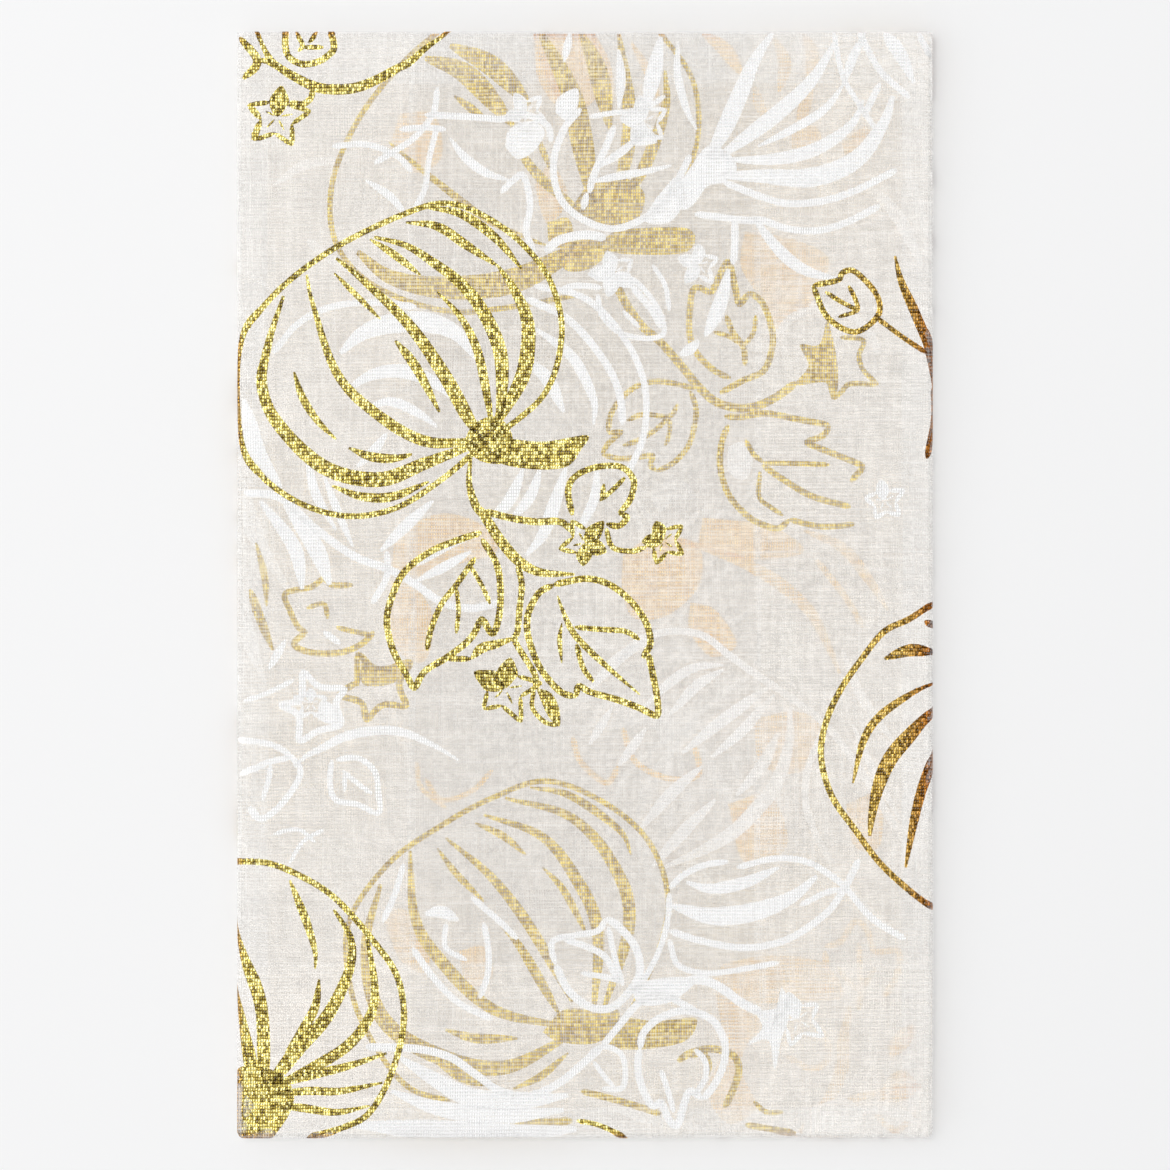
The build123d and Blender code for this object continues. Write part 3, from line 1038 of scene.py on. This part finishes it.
# The turned ply: white and the other way round.
INTERLINING_MARKS = [
    (4.2, 0.35, [(29, 101), (33, 108), (37, 117), (40, 124), (44.5, 131)]),
    (3.8, 0.4, [(31, 101), (38, 106), (47, 113), (54, 120), (59.5, 129)]),
    (2.2, 0.5, [(41, 104), (50, 108.5), (57, 113), (61.5, 119)]),
    (3.2, 0.5, [(33, 100.8), (45, 101), (55, 103.5), (63, 109), (66, 115)]),
    (4.6, 0.5, [(31, 97), (42, 97), (52, 96.5), (60, 98.5), (66, 102.5), (71, 110), (73, 116)]),
    (1.7, None, [(33, 95.5), (42, 92), (48, 90.5), (56, 91), (64, 93.5), (74, 98.5)]),
    (1.7, None, [(26, 88), (38, 86.5), (42, 86.5), (48, 84.5), (55, 84), (62, 86), (70, 90)]),
    (2.9, 0.5, [(40, 87.5), (43, 83), (48, 77.5), (53, 74.3), (60, 72.5)]),
    (1.8, None, [(35.5, 86.5), (35.5, 80), (35, 76)]),
    (3.6, 0.6, [(34, 75), (33, 70), (31, 64), (28.5, 59)]),
    (2.6, 0.5, [(27, 58), (25, 56), (22.5, 54.5)]),
    (1.3, None, [(59, 131), (61, 121), (65, 114), (69, 108)]),
    (2.2, 0.5, [(66.5, 131), (63.5, 125), (61, 118)]),
    (1.6, None, [(65, 131), (70, 122), (77, 115.5)]),
    (3.4, 0.3, [(71, 131), (75, 125.5), (78, 119)]),
    (1.6, None, [(70, 119), (68, 115), (66, 111)]),
    (1.4, None, [(79, 131), (82, 125)]),
    (3.8, 0.5, [(14, 112), (16, 120), (18, 130)]),
    (2.0, 0.5, [(22, 129), (22, 121), (24, 113), (26.5, 108)]),
    (2.3, 0.5, [(8, 127), (8.5, 120), (8, 113)]),
    (2.0, 0.5, [(-3.5, 131), (-5, 124)]),
    (1.7, None, [(-1, 113), (-5, 108), (-7.5, 100), (-6, 92), (-1, 87), (6, 84.5), (12, 86), (18, 90),
                 (22, 96), (25, 102)]),
    (1.7, None, [(1, 93), (2, 97), (5, 104), (7, 109)]),
    (2.0, 0.4, [(1, 95.5), (8, 97), (14, 98), (20.5, 99.5)]),
    (2.0, 0.4, [(3, 99), (9, 103), (14, 107.5)]),
    (1.7, None, [(0.5, 93), (-0.5, 89)]),
    (1.3, None, [(1, 111), (7, 112), (14, 113), (19, 116)]),
    (2.2, None, [(-9.5, 79), (-6, 81.8), (0, 83), (5, 82.3)]),
    (1.6, None, [(-38, 111.5), (-27, 111), (-20, 110.5), (-14, 111.5), (-9, 109), (-8, 105)]),
    (2.2, 0.5, [(-32, 106), (-29, 102), (-24, 98), (-18, 96)]),
    (1.6, None, [(-20, 93), (-17, 96), (-14.5, 97), (-13, 90), (-14, 84), (-12, 79)]),
    (1.5, None, [(-44, 108), (-38, 108.5), (-33, 108)]),
    (1.5, None, [(-50, 100), (-45, 103), (-40, 106.5), (-36, 112), (-35, 118)]),
    (1.4, None, [(-35, 109), (-37, 101), (-38, 94), (-41, 88)]),
    (2.0, 0.5, [(-52, 96), (-46, 92), (-42, 87)]),
    (1.5, None, [(-60, 104), (-52, 104.5), (-45, 102), (-41, 98)]),
    (1.5, None, [(-6, 70), (-2, 71), (4, 70.5)]),
    (1.3, None, [(3, 69), (4, 64), (8, 60), (14, 58.5), (18.5, 59.5), (18, 64), (15, 69), (11, 73)]),
    (1.7, None, [(11, 71), (16, 65), (18, 61)]),
    (1.2, None, [(9, 65), (13, 61)]),
    (1.2, None, [(16, 76), (19, 71), (20, 65)]),
    # ribs of the pumpkin behind the strong one
    (5.0, 0.5, [(-58, 55), (-53, 59.5), (-46, 62), (-37.5, 62.3), (-30.6, 59.7), (-26, 54)]),
    (3.4, 0.5, [(-57, 46), (-50, 50), (-42, 50.5), (-34, 47), (-29, 42)]),
    (2.4, 0.5, [(-52, 42), (-46, 43.5), (-40, 41), (-35, 37.5)]),
    (3.2, 0.5, [(-15, 54), (-9, 49), (-5, 41)]),
    (2.6, 0.5, [(-12, 61), (-3, 54), (2, 44), (2, 38)]),
    (1.8, None, [(-14, 68), (-4, 63), (4, 54), (8, 46), (9, 38)]),
    (1.6, None, [(-12, 71), (0, 68), (9, 59), (14, 48), (14, 36), (10, 26)]),
    (2.8, 0.5, [(-14.5, 28), (-18, 20), (-24, 14)]),
    (2.6, 0.5, [(-10.5, 28), (-13, 21), (-18, 15)]),
    (3.2, 0.5, [(-4.5, 28), (-7, 20), (-10, 12), (-14, 7)]),
    (2.4, 0.5, [(3, 28), (2, 20), (-2, 12)]),
    (2.8, 0.5, [(-36, 20), (-42, 14.5), (-48.5, 8)]),
    (2.4, 0.5, [(-27, 8), (-33, 4.5), (-40, 1)]),
    (1.9, 0.5, [(-25, 12), (-32, 9.5), (-40, 4.5)]),
    (1.9, None, [(-80, 22), (-72, 20.5), (-64, 13.5), (-55, 7), (-46, 3.5), (-40, 0), (-34, -4),
                 (-27, -5.5), (-20, -4)]),
    (2.0, 0.5, [(-62, 26), (-58, 16), (-55, 9)]),
    (2.3, 0.5, [(-66, 32), (-64, 22), (-59, 13)]),
    (3.4, 0.5, [(-80, 44), (-77.5, 32), (-72, 23)]),
    (4.2, 0.6, [(-72, 21), (-64, 9), (-60.5, 0)]),
    (3.4, 0.6, [(-77, 20), (-69, 9), (-67, -1)]),
    (1.6, None, [(-47, 8), (-47, 2), (-50.5, -4.5)]),
    (2.4, 0.5, [(-47, 36), (-50, 32), (-54, 28)]),
    (1.6, None, [(-74, 55), (-68, 62), (-60, 66), (-50, 67), (-40, 66)]),
    # the white flower, vine and two leaves below it
    (1.5, None, [(-67, -20), (-63, -24), (-56.5, -24.5)]),
    (1.6, None, [(-56.5, -24.5), (-59, -28), (-58, -33), (-63, -34.5), (-68, -37.5)]),
    (1.6, None, [(-68, -37.5), (-68, -31), (-72, -28.5), (-67.5, -27), (-67, -20)]),
    (2.3, 0.4, [(-69, -43), (-66, -40.5), (-62, -38.5), (-57, -36), (-50, -34.5), (-43, -35), (-36, -38),
                (-30, -41.5)]),
    (1.5, None, [(-82, -36.5), (-74, -38), (-70, -40.5), (-67.5, -44), (-69, -48), (-73, -53),
                 (-77, -55.5), (-79, -52.5)]),
    (1.5, None, [(-81, -45), (-75, -42), (-70, -41)]),
    (1.3, None, [(-76.5, -51), (-75, -46), (-74.5, -42.5)]),
    (1.2, None, [(-80, -27.5), (-74, -25), (-69, -22.5)]),
    (1.4, None, [(-60, -41.5), (-60.5, -47), (-59, -51), (-54, -52), (-49, -54), (-49, -49), (-50, -44),
                 (-54, -41), (-59, -41.5)]),
    (1.2, None, [(-57.5, -44), (-54, -47), (-50.5, -49.5)]),
    (1.1, None, [(-57, -49), (-57, -44)]),
    (2.0, 0.5, [(-71, -13), (-75, -20)]),
    (1.5, None, [(-62, -11), (-58, -14)]),
    (1.0, None, [(-74, -59), (-68, -58), (-64, -61)]),
    (1.0, None, [(-70, -66), (-67, -61), (-62, -58)]),
    # the leaf, vine and flower at the bottom
    (1.9, None, [(-7, -90), (-4, -96), (1, -100), (6, -100.3), (10, -97), (13, -92), (12, -86), (8, -81),
                 (5, -79)]),
    (1.5, None, [(5, -79), (3, -82), (-2, -83), (-7, -84), (-8, -86), (-7, -90)]),
    (1.6, None, [(-5, -84), (1, -86), (5, -88.5), (8, -94.5)]),
    (1.4, None, [(5.5, -81), (7, -88), (9, -95)]),
    (1.4, None, [(-1, -92), (5, -93), (8.5, -94)]),
    (1.4, None, [(12, -97), (17, -88), (19.5, -80), (20, -73)]),
    (1.7, None, [(4, -109.5), (8.5, -104), (13, -99), (19, -97.5), (27, -101.5)]),
    (2.2, None, [(24, -93.5), (29, -94), (33, -96), (37, -99), (42, -101.5)]),
    (1.4, None, [(20, -84), (22, -90), (28, -92), (35, -91.5), (46, -89.5)]),
    (1.7, None, [(20, -82), (28, -84.5), (38, -86), (48, -84), (57, -78), (61.5, -72), (65, -65)]),
    (1.6, None, [(54, -66), (61, -71), (68, -79), (76, -84)]),
    (1.4, None, [(51, -76), (57, -73), (61, -72)]),
    (4.6, 0.4, [(20.5, -76), (30, -78.5), (40, -77.5), (49, -74), (55, -69)]),
    (1.5, None, [(20, -72), (23, -69), (28, -66.5), (34, -65.5)]),
    (3.0, 0.5, [(24, -70.5), (30, -72), (38, -70.5), (46, -67)]),
    (1.5, None, [(36, -67), (44, -65), (50, -65), (55, -66.5)]),
    (1.8, None, [(13, -110), (14, -106), (18, -102.5), (24, -101), (30, -103), (33, -108), (33, -113),
                 (31, -118), (28, -122)]),
    (1.8, None, [(28, -122), (25, -120), (23.5, -123), (22, -128), (20, -127), (18, -122)]),
    (1.8, None, [(18, -122), (16, -123.5), (13.5, -119), (12.5, -114), (13, -110)]),
    (1.4, None, [(18, -115), (20, -121), (21, -125)]),
    (1.4, None, [(26, -110), (28.5, -113), (28.5, -117), (26, -121)]),
    (1.4, None, [(1, -111), (5, -109.5), (9, -112), (9, -119), (4, -119.5)]),
    (1.2, None, [(2, -113), (5, -117), (7, -119)]),
    (1.9, None, [(-52, -109.5), (-40, -110), (-32, -112), (-26, -116), (-20, -120), (-13, -121),
                 (-6, -118), (0, -113), (4, -109.5)]),
    (4.6, 0.5, [(-44, -112), (-36, -117), (-27, -121.5), (-15, -122.5), (-4, -121)]),
    (4.2, 0.5, [(-46, -120), (-35, -124), (-20, -126), (-5, -124.5)]),
    (5.0, 0.5, [(-56, -128), (-38, -129), (-20, -130), (-2, -129)]),
    (3.0, 0.5, [(-38, -78), (-34, -77.5), (-30, -79.5)]),
    (1.6, None, [(-41, -86), (-36, -93), (-30, -99), (-22, -103)]),
    (1.5, None, [(-27, -74), (-20, -80), (-16, -84)]),
    (1.5, None, [(-48, -80), (-45, -73), (-43, -66)]),
    (1.5, None, [(-24, -80), (-23, -86), (-23, -92), (-25, -98)]),
    (1.3, None, [(-33, -80), (-33, -86), (-28, -89)]),
]
INTERLINING_FILLS = [
    [(21, 93), (25, 99), (29, 104), (34, 102.5), (36, 98.5), (33, 95.5), (29, 94.5), (26, 90.5), (23, 89)],
    [(-7, 112), (-6.5, 115.5), (-2, 117.8), (-1.6, 114), (-4, 110)],
    [(-19, 104), (-18, 108), (-13, 110), (-9.5, 107.5), (-12, 103), (-16, 101)],
    [(-62, -27), (-58.5, -29.5), (-59, -33), (-63.5, -31.5)],
    [(11, -95.5), (16, -93.5), (24, -93), (26, -94.5), (20, -99), (13, -99.5)],
    [(40, -101), (46, -100), (46.5, -95.5), (48.5, -99), (48, -104), (46.5, -108), (45, -115),
     (43.5, -108), (38.5, -109), (42, -105)],
    [(17, 92), (22, 97), (24, 92), (20, 86), (14, 86.5)],
    [(12, 104), (17, 105), (15, 108.5), (11, 108)],
]

# Deeper plies: soft white ribs, then pale gold that shows as peach.
BACK_LINING_MARKS = [
    (1.8, None, [(8, -18), (13, -13), (20.5, -11), (28, -12), (34, -16.5), (41, -21.5), (48.5, -26.5),
                 (57.5, -33.5),
                 (66, -45), (74, -58)]),
    (1.7, None, [(57, -34), (53.5, -42), (52.3, -50), (54.5, -58.5), (60, -68), (68, -78)]),
    (2.4, 0.5, [(14, -29), (21, -22.5), (26.5, -19.5), (33, -19)]),
    (2.6, 0.5, [(20, -31), (26.5, -24), (33, -20)]),
    (3.0, 0.5, [(23, -40), (31, -33.5), (37, -29), (44, -24)]),
    (2.6, 0.5, [(30, -41), (37, -35), (41, -30.5), (45, -26)]),
    (3.6, 0.5, [(48.8, -29), (48.4, -38), (45.5, -47), (41, -53), (35.5, -58.5), (28, -63), (19, -67)]),
    (2.2, 0.5, [(1, -38), (6.5, -29)]),
    (2.4, 0.5, [(8, -43), (14.5, -34)]),
    (3.0, 0.5, [(13, -58), (21, -49), (28, -43)]),
    (3.0, 0.5, [(16, -67), (23.5, -58.5), (31, -51)]),
    (2.8, 0.5, [(1, -25), (8, -17.5), (15, -13.5)]),
    (3.0, 0.5, [(36, -50), (42, -43), (46, -35)]),
    (2.0, 0.5, [(63.5, -33), (68, -43), (75, -56)]),
    (1.8, 0.5, [(60, -70), (68, -78), (76, -84)]),
    (2.4, 0.5, [(61, -15), (66, -27), (74, -38)]),
    (3.4, 0.5, [(-82, 30), (-78, 12), (-70, -2)]),
    (3.0, 0.5, [(-82, 5), (-80, -10), (-76, -24)]),
    (2.4, 0.5, [(-74, 95), (-66, 100), (-56, 101)]),
    (2.2, None, [(-66, 82), (-58, 76), (-48, 74)]),
    (2.0, None, [(46, 60), (50, 64), (58, 65.5), (66, 62), (70, 55)]),
    (3.2, 0.5, [(66, 96), (74, 88), (80, 76)]),
    (3.0, 0.5, [(62, -126), (70, -124), (80, -128)]),
    (3.0, 0.5, [(6, -124), (16, -127), (28, -129)]),
]
BACK_LINING_FILLS = [
    [(34, 33), (38, 34), (40, 30), (38, 25), (34, 27)],
    [(54, -124), (62, -122), (66, -127), (60, -131), (52, -131)],
]
BACK_INTERLINING_MARKS = [
    (3.0, 0.5, [(22, 11), (35, 6.5), (42, 3), (48, -1), (54, -7), (58, -15), (60.5, -21)]),
    (2.6, 0.5, [(52, 13), (61, 9), (67, 2), (72, -6)]),
    (1.5, None, [(55, 6), (62, -3), (66, -10)]),
    (1.4, None, [(9, -34), (12, -42), (20, -46), (27, -45), (26, -38)]),
    (1.4, None, [(-3, -36), (-1, -42), (5, -47), (8, -43)]),
    (3.4, 0.5, [(28, 131), (33, 127.5), (37.5, 121)]),
    (3.0, 0.5, [(45, 130), (47.5, 124), (46, 117)]),
    (3.2, 0.5, [(52, 131), (54, 126), (53, 120)]),
    (2.6, 0.5, [(40.5, 118.5), (41.5, 114), (44, 110)]),
    (3.0, 0.5, [(54, 119), (52, 113), (50.5, 108)]),
    (3.0, 0.5, [(-12, 131), (-8, 122), (-4, 112)]),
    (3.0, 0.5, [(2, 131), (5, 122), (6, 112)]),
    (2.2, 0.5, [(11, 129), (15, 122), (18, 114)]),
    (1.5, None, [(57, -86), (61, -84.5), (64, -80), (67, -82), (69, -87), (74.5, -87), (74, -93),
                 (71, -98)]),
    (1.5, None, [(65, -85), (65.5, -95), (65, -101)]),
    (1.3, None, [(60, -91), (65, -96), (69, -91)]),
    (1.5, None, [(56.5, -98), (57.5, -93), (57, -87)]),
    (3.2, 0.4, [(63, -100), (61.5, -108), (61, -115), (58, -122), (53, -128), (50, -131)]),
    (1.8, None, [(61, -123), (68, -121), (75, -120), (80, -119)]),
    (1.5, None, [(69, -126), (74, -129.5), (79, -125)]),
    (1.5, None, [(48, -112), (54, -115), (58, -112), (57, -106)]),
    (1.2, None, [(-38, -46), (-34, -51), (-27, -49), (-22, -44)]),
    (1.2, None, [(-40, -42), (-39, -48), (-33, -53)]),
]
BACK_INTERLINING_FILLS = [
    [(9, 7), (17, 12), (27, 9), (27, 0), (20, -7), (12, -8), (9, -2)],
    [(25, -4), (31, -6), (36, -14), (30, -17), (25, -11)],
    [(40, -32), (50, -30), (56, -34), (52, -44), (42, -43)],
    [(38, 84), (50, 82), (58, 77), (53, 66), (45, 61), (41, 69), (37, 76)],
    [(49, 108), (55, 109), (56, 103), (50, 102)],
    [(61, 105), (67, 109), (68, 102), (63, 100)],
    [(33, -90), (44, -88), (57, -90), (61, -98), (50, -99), (40, -99), (30, -95)],
    [(31, -97), (38, -100), (42, -104), (38, -110), (37, -118), (41, -124), (34, -128), (29, -120),
     (33, -110)],
    [(72.5, -113), (72.5, -108.5), (76, -105), (78.5, -105), (77, -109.5)],
    [(70, -123), (76, -122.5), (79, -119), (76, -115.5), (72, -117)],
    [(-46, 4), (-44, 12), (-34, 17), (-24, 14), (-21, 8), (-30, 5), (-38, 2)],
    [(-46, 1), (-40, -1), (-36, -8), (-38, -18), (-44, -16), (-47, -8)],
    [(-48, -79), (-43, -77), (-37, -84), (-38, -92), (-44, -89)],
    [(-30, -87), (-24, -86), (-22, -93), (-28, -95)],
    [(-44, 112), (-36, 112), (-34, 102), (-40, 98), (-46, 103)],
    [(-12, 131), (2, 131), (4, 118), (-4, 112), (-11, 120)],
    [(28, 16), (44, 14), (52, 8), (40, 6), (28, 9)],
    [(-12, 95), (-8, 100), (-4, 92), (-9, 86)],
    [(62, -52), (70, -50), (70, -62), (64, -62)],
    [(34, -52), (44, -50), (48, -62), (38, -66)],
]
STAR_POINTS = 5
STAR_INNER = 0.52


def draw(art, marks, **where):
    for width, lean, points in marks:
        art.stroke(width, points, lean, **where)


def draw_pumpkin(art, **where):
    draw(art, PUMPKIN, **where)
    art.fill(PUMPKIN_HUB, **where)
    art.fill(PUMPKIN_STEM, **where)


def draw_star(art, at, radius, turn=0.0, filled=2, width=1.1):
    """A five-pointed flower: an outline, a dotted middle, and some petals filled."""
    tips, notches = [], []
    for i in range(STAR_POINTS):
        reach = radius * art.chance.uniform(0.85, 1.15)
        for angle, length, found in ((i, reach, tips), (i + 0.5, radius * STAR_INNER, notches)):
            a = math.radians(turn + 90 + 360 / STAR_POINTS * angle)
            found.append((at[0] + length * math.cos(a), at[1] + length * math.sin(a)))
    for i in range(STAR_POINTS):
        before, after = notches[i - 1], notches[i]
        art.stroke(width, [before, tips[i]])
        art.stroke(width, [tips[i], after])
        if i < filled:
            art.fill([before, tips[i], after, at])
        ray = [(at[0] * (1 - s) + tips[i][0] * s, at[1] * (1 - s) + tips[i][1] * s) for s in (0.12, 0.45)]
        art.stroke(0.6, ray)


def draw_bud(art, **where):
    draw(art, BUD, **where)
    art.fill(BUD_FILL, **where)


# ---------------------------------------------------------------- the print on each ply


# The vine below the middle pumpkin's hub, with its branches.
OUTER_VINE = [
    (2.6, 0.6, [(-27, 31), (-27.5, 24.5), (-26, 19), (-24, 16.5), (-20, 10.5), (-15.5, 5.5), (-10.5, 3),
                (-2.5, 2.5)]),
    (1.7, None, [(-24, 17.5), (-18, 16), (-12, 15), (-6, 15), (-2.5, 12.5)]),
    (1.5, None, [(-16, 5), (-15, 0), (-15.5, -5.5), (-16, -11), (-16.5, -13.5), (-12, -21), (-12, -24)]),
    (2.4, 0.7, [(-16.5, -12.5), (-21, -14), (-24.5, -15), (-27, -17.5)]),
    (1.4, None, [(-27, -17.5), (-33, -17.5)]),
    (1.3, None, [(5, 13.5), (6.5, 9), (11, 8), (14.5, 9)]),
]
# The pumpkin that the bottom left corner cuts.
CORNER_PUMPKIN = [
    (1.5, None, [(-84, -65.5), (-75, -66), (-66.5, -69.5), (-59, -74.5), (-50.5, -84), (-44.5, -93),
                 (-43, -104), (-46, -116), (-51, -125), (-57, -128.5), (-66, -131)]),
    (3.0, 0.85, [(-83, -78), (-79, -91), (-76.5, -101), (-76, -118)]),
    (2.4, 0.85, [(-83, -93), (-80.5, -102), (-78, -118)]),
    (2.0, 0.4, [(-70, -70), (-66, -80), (-64, -87), (-64, -91)]),
    (2.3, 0.5, [(-63, -93.5), (-64, -100), (-67, -105.5), (-71, -111)]),
    (3.4, 0.8, [(-59.5, -77), (-55.5, -84), (-56, -91.5), (-61, -102), (-68, -110), (-76, -120)]),
    (2.7, 0.7, [(-52, -82), (-50, -93.5), (-50.5, -101), (-55, -108), (-62, -113), (-74, -119)]),
    (2.2, 0.4, [(-76, -119), (-64, -116), (-56, -114), (-47, -111)]),
    (2.0, 0.4, [(-76, -121), (-66, -120), (-58, -120), (-48, -118)]),
    (2.0, 0.4, [(-76, -123), (-67, -124), (-59, -125), (-51, -123.5)]),
]
CORNER_PUMPKIN_HUB = [(-84, -116), (-79, -114), (-72, -116), (-69, -121), (-71, -127), (-76, -132),
                      (-84, -132)]
# The pumpkin that the right edge cuts.
RIGHT_PUMPKIN = [
    (1.5, None, [(83, -4), (77, -8), (71, -11), (66, -17), (60.5, -25), (57, -33), (56, -41),
                 (58.5, -50), (64, -58), (70, -66), (77, -72.5), (83, -77)]),
    (1.8, 0.5, [(80.5, -8.5), (83, -10)]),
    (3.0, 0.6, [(71, -17.5), (77, -15.5), (83, -16)]),
    (2.0, 0.5, [(83, -23), (77, -26), (70, -31), (66, -37), (63.5, -47)]),
    (3.6, 0.4, [(84, -28), (78, -34.5), (72.5, -41), (69.5, -48), (68, -55), (67.5, -59.5)]),
    (2.4, 0.4, [(83.5, -37), (80, -48), (78, -56), (76, -67)]),
]
# The vine and leaf in the top left corner.
CORNER_VINE = [
    (2.5, 0.45, [(-78, 132), (-76, 127), (-73.5, 123.5), (-68, 120), (-63.5, 118), (-59, 117.5),
                 (-54, 118), (-49, 120), (-44.5, 122.5), (-41.5, 124), (-37.5, 127.5), (-31, 132)]),
    (1.5, None, [(-81, 130), (-79, 127.5), (-77.5, 124.5), (-78, 122.5), (-80, 120)]),
    (1.4, None, [(-77.5, 124.5), (-75, 124), (-73, 122.5)]),
    (1.6, None, [(-71, 132), (-71, 127.5), (-70, 125), (-67, 123.5), (-63.5, 124), (-61, 125.5),
                 (-59.5, 127.5), (-60.5, 132)]),
    (1.2, None, [(-68.5, 131), (-67, 128), (-68, 126.5)]),
    (1.2, None, [(-65.5, 128.5), (-63.5, 131)]),
    (1.2, None, [(-67, 127.5), (-62, 127.5)]),
    (1.5, None, [(-64.5, 118), (-65, 115.5), (-67, 114), (-70, 114.5)]),
]
# The leaf and vine on the right, and the end of a vine at the bottom.
RIGHT_VINE = [
    (1.4, None, [(54, 71), (60, 72.3), (61, 74), (64, 74.3), (69, 69), (69.5, 64), (64, 60),
                 (57.5, 63.5), (54, 71)]),
    (1.1, None, [(57, 69.5), (61, 67), (65, 65)]),
    (1.1, None, [(62.5, 71), (64, 68), (65, 65)]),
    (1.0, None, [(60, 63.5), (65, 65)]),
    (1.2, None, [(-2, -127), (3, -128), (10, -131)]),
    (1.2, None, [(69, 63.5), (75, 59), (81, 55)]),
    (2.4, 0.5, [(73.5, 78), (75, 72), (78.5, 64), (81.5, 56), (82.3, 47)]),
    (1.2, None, [(82.2, 47), (82.4, 40), (81, 30)]),
]


def outer_print():
    """The strong gold on the outer cloth."""
    art = Art(1)
    draw_pumpkin(art, at=(-25, 34.5))
    draw(art, OUTER_VINE)
    draw(art, HEART_LEAF, at=(-24.5, 12.5))
    draw(art, BROAD_LEAF, at=(-7.5, 0))
    draw(art, BUD_LEAF, at=(-3, 16.5))
    draw_star(art, (0, 10), 6, 175, 3)
    draw_star(art, (18.5, 10.5), 5.5, 20, 2)
    draw_star(art, (-19, -24.5), 8, -10, 2)
    draw_bud(art, at=(-12, -24.5))
    draw(art, CORNER_PUMPKIN)
    art.fill(CORNER_PUMPKIN_HUB)
    draw(art, RIGHT_PUMPKIN)
    draw(art, CORNER_VINE)
    draw_star(art, (-73, 111), 7.5, -8, 1, 1.2)
    draw(art, RIGHT_VINE)
    return art


def inner_print(seed, marks, fills, stars=()):
    """The print of a ply inside the bag."""
    art = Art(seed)
    draw(art, marks)
    for outline in fills:
        art.fill(outline)
    for star in stars:
        draw_star(art, *star)
    return art


def back_outer_print():
    """The front's print again, turned end for end."""
    art = outer_print()
    art.strips = [(-line, widths) for line, widths in art.strips]
    art.fills = [-outline for outline in art.fills]
    return art


LIFT = 0.05 * MM


def add_print(name, art, ply, up, body, owner):
    """The foil on a ply's printed face, which looks up (1) or down (-1), and its white back on the other."""
    foil = GOLD if "outer" in name else INNER_GOLD if "front" in name else DIM_GOLD
    for suffix, lift, material, slot in (
        ("foil", up * LIFT, foil, "gold_foil"),
        ("reverse", -up * LIFT, WHITE, "white_reverse"),
    ):
        add_piece(print_object(f"{name}_{suffix}", art, ply, lift, material), body, owner)


INTERLINING_STARS = [
    ((7, 74), 6, 20, 4),
    ((27, 76), 5, 0, 3),
    ((14, 110), 6, 10, 3),
    ((-14, 112), 5, 30, 2),
    ((71, 20), 5, 10, 1),
    ((50.5, -103), 6.5, 20, 1),
    ((-65, -28), 4, 0, 1),
]
# Each wall's ply, from the top down, with its art and the way that its printed face looks, up or down.
# A ply that looks down shows its white reverse.
PRINTS = [
    ("front", "outer", outer_print(), 1),
    ("front", "interlining", inner_print(2, INTERLINING_MARKS, INTERLINING_FILLS, INTERLINING_STARS), -1),
    ("front", "lining", inner_print(3, LINING_PUMPKINS + LINING_VINE, LINING_FILLS), 1),
    ("back", "lining", inner_print(4, BACK_LINING_MARKS, BACK_LINING_FILLS), -1),
    ("back", "interlining", inner_print(5, BACK_INTERLINING_MARKS, BACK_INTERLINING_FILLS), 1),
    ("back", "outer", back_outer_print(), -1),
]
for wall, kind, art, up in PRINTS:
    add_print(f"{wall}_{kind}", art, walls[wall][kind], up, f"{wall}_wall", f"{wall}_{kind}_cloth")


# ---------------------------------------------------------------- thread

STITCH = 2.6 * MM
STITCH_ROWS = 6               # rings of points in one stitch
THREAD_SIDES = 6
THREAD_RADIUS = 0.13 * MM
THREAD_SWAY = 0.05 * MM       # to either side of the seam
THREAD_INSET = 0.7 * MM       # how far inside the fold the stitches run,
THREAD_SINK = 0.2 * MM        # and how far in between the walls


def thread_material():
    material, tree, shader = new_material("seam_thread")
    twist = noise_node(tree, mapped(tree, object_place(tree), (1, 0.4, 1)), 4000, 1).outputs[0]
    colour = ramp_node(tree, twist, (0.35, (0.7, 0.68, 0.64)), (0.6, (0.9, 0.89, 0.86)))
    tree.links.new(colour, shader.inputs["Base Color"])
    shader.inputs["Roughness"].default_value = 0.55
    add_bump(tree, shader, twist, 0.05 * MM)
    return material


def sewn_thread(node, body, owner, material):
    """A running stitch along the inside of a seam, in place of the straight CAD thread."""
    low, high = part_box(node)
    along = 0 if high[0] - low[0] > high[1] - low[1] else 1
    start, end = low[along] + MM, high[along] - MM
    middle = [(a + b) / 2 for a, b in zip(low, high)]
    across = 1 - along
    middle[across] *= 1 - THREAD_INSET / abs(middle[across])
    middle[2] += -THREAD_SINK if middle[2] > TOP / 2 else THREAD_SINK
    rows = []
    for s in np.arange(start, end, STITCH / STITCH_ROWS):
        wave = math.sin(2 * math.pi * (s - start) / STITCH)
        ring = []
        for k in range(THREAD_SIDES + 1):
            angle = 2 * math.pi * k / THREAD_SIDES
            point = list(middle)
            point[along] = s
            point[across] += THREAD_RADIUS * math.cos(angle) + THREAD_SWAY * wave
            point[2] += THREAD_RADIUS * math.sin(angle)
            ring.append(tuple(point))
        rows.append(ring)
    piece = grid_object(f"{node}_stitches", rows, material)
    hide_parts(node)
    add_piece(piece, body, owner)


thread_finish = thread_material()
for wall in ("front", "back"):
    for side in ("left", "right", "bottom"):
        sewn_thread(f"{wall}_{side}_seam_thread", f"{wall}_wall", f"{wall}_lining_cloth", thread_finish)

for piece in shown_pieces():
    lit_through(piece)

bpy.context.view_layer.update()
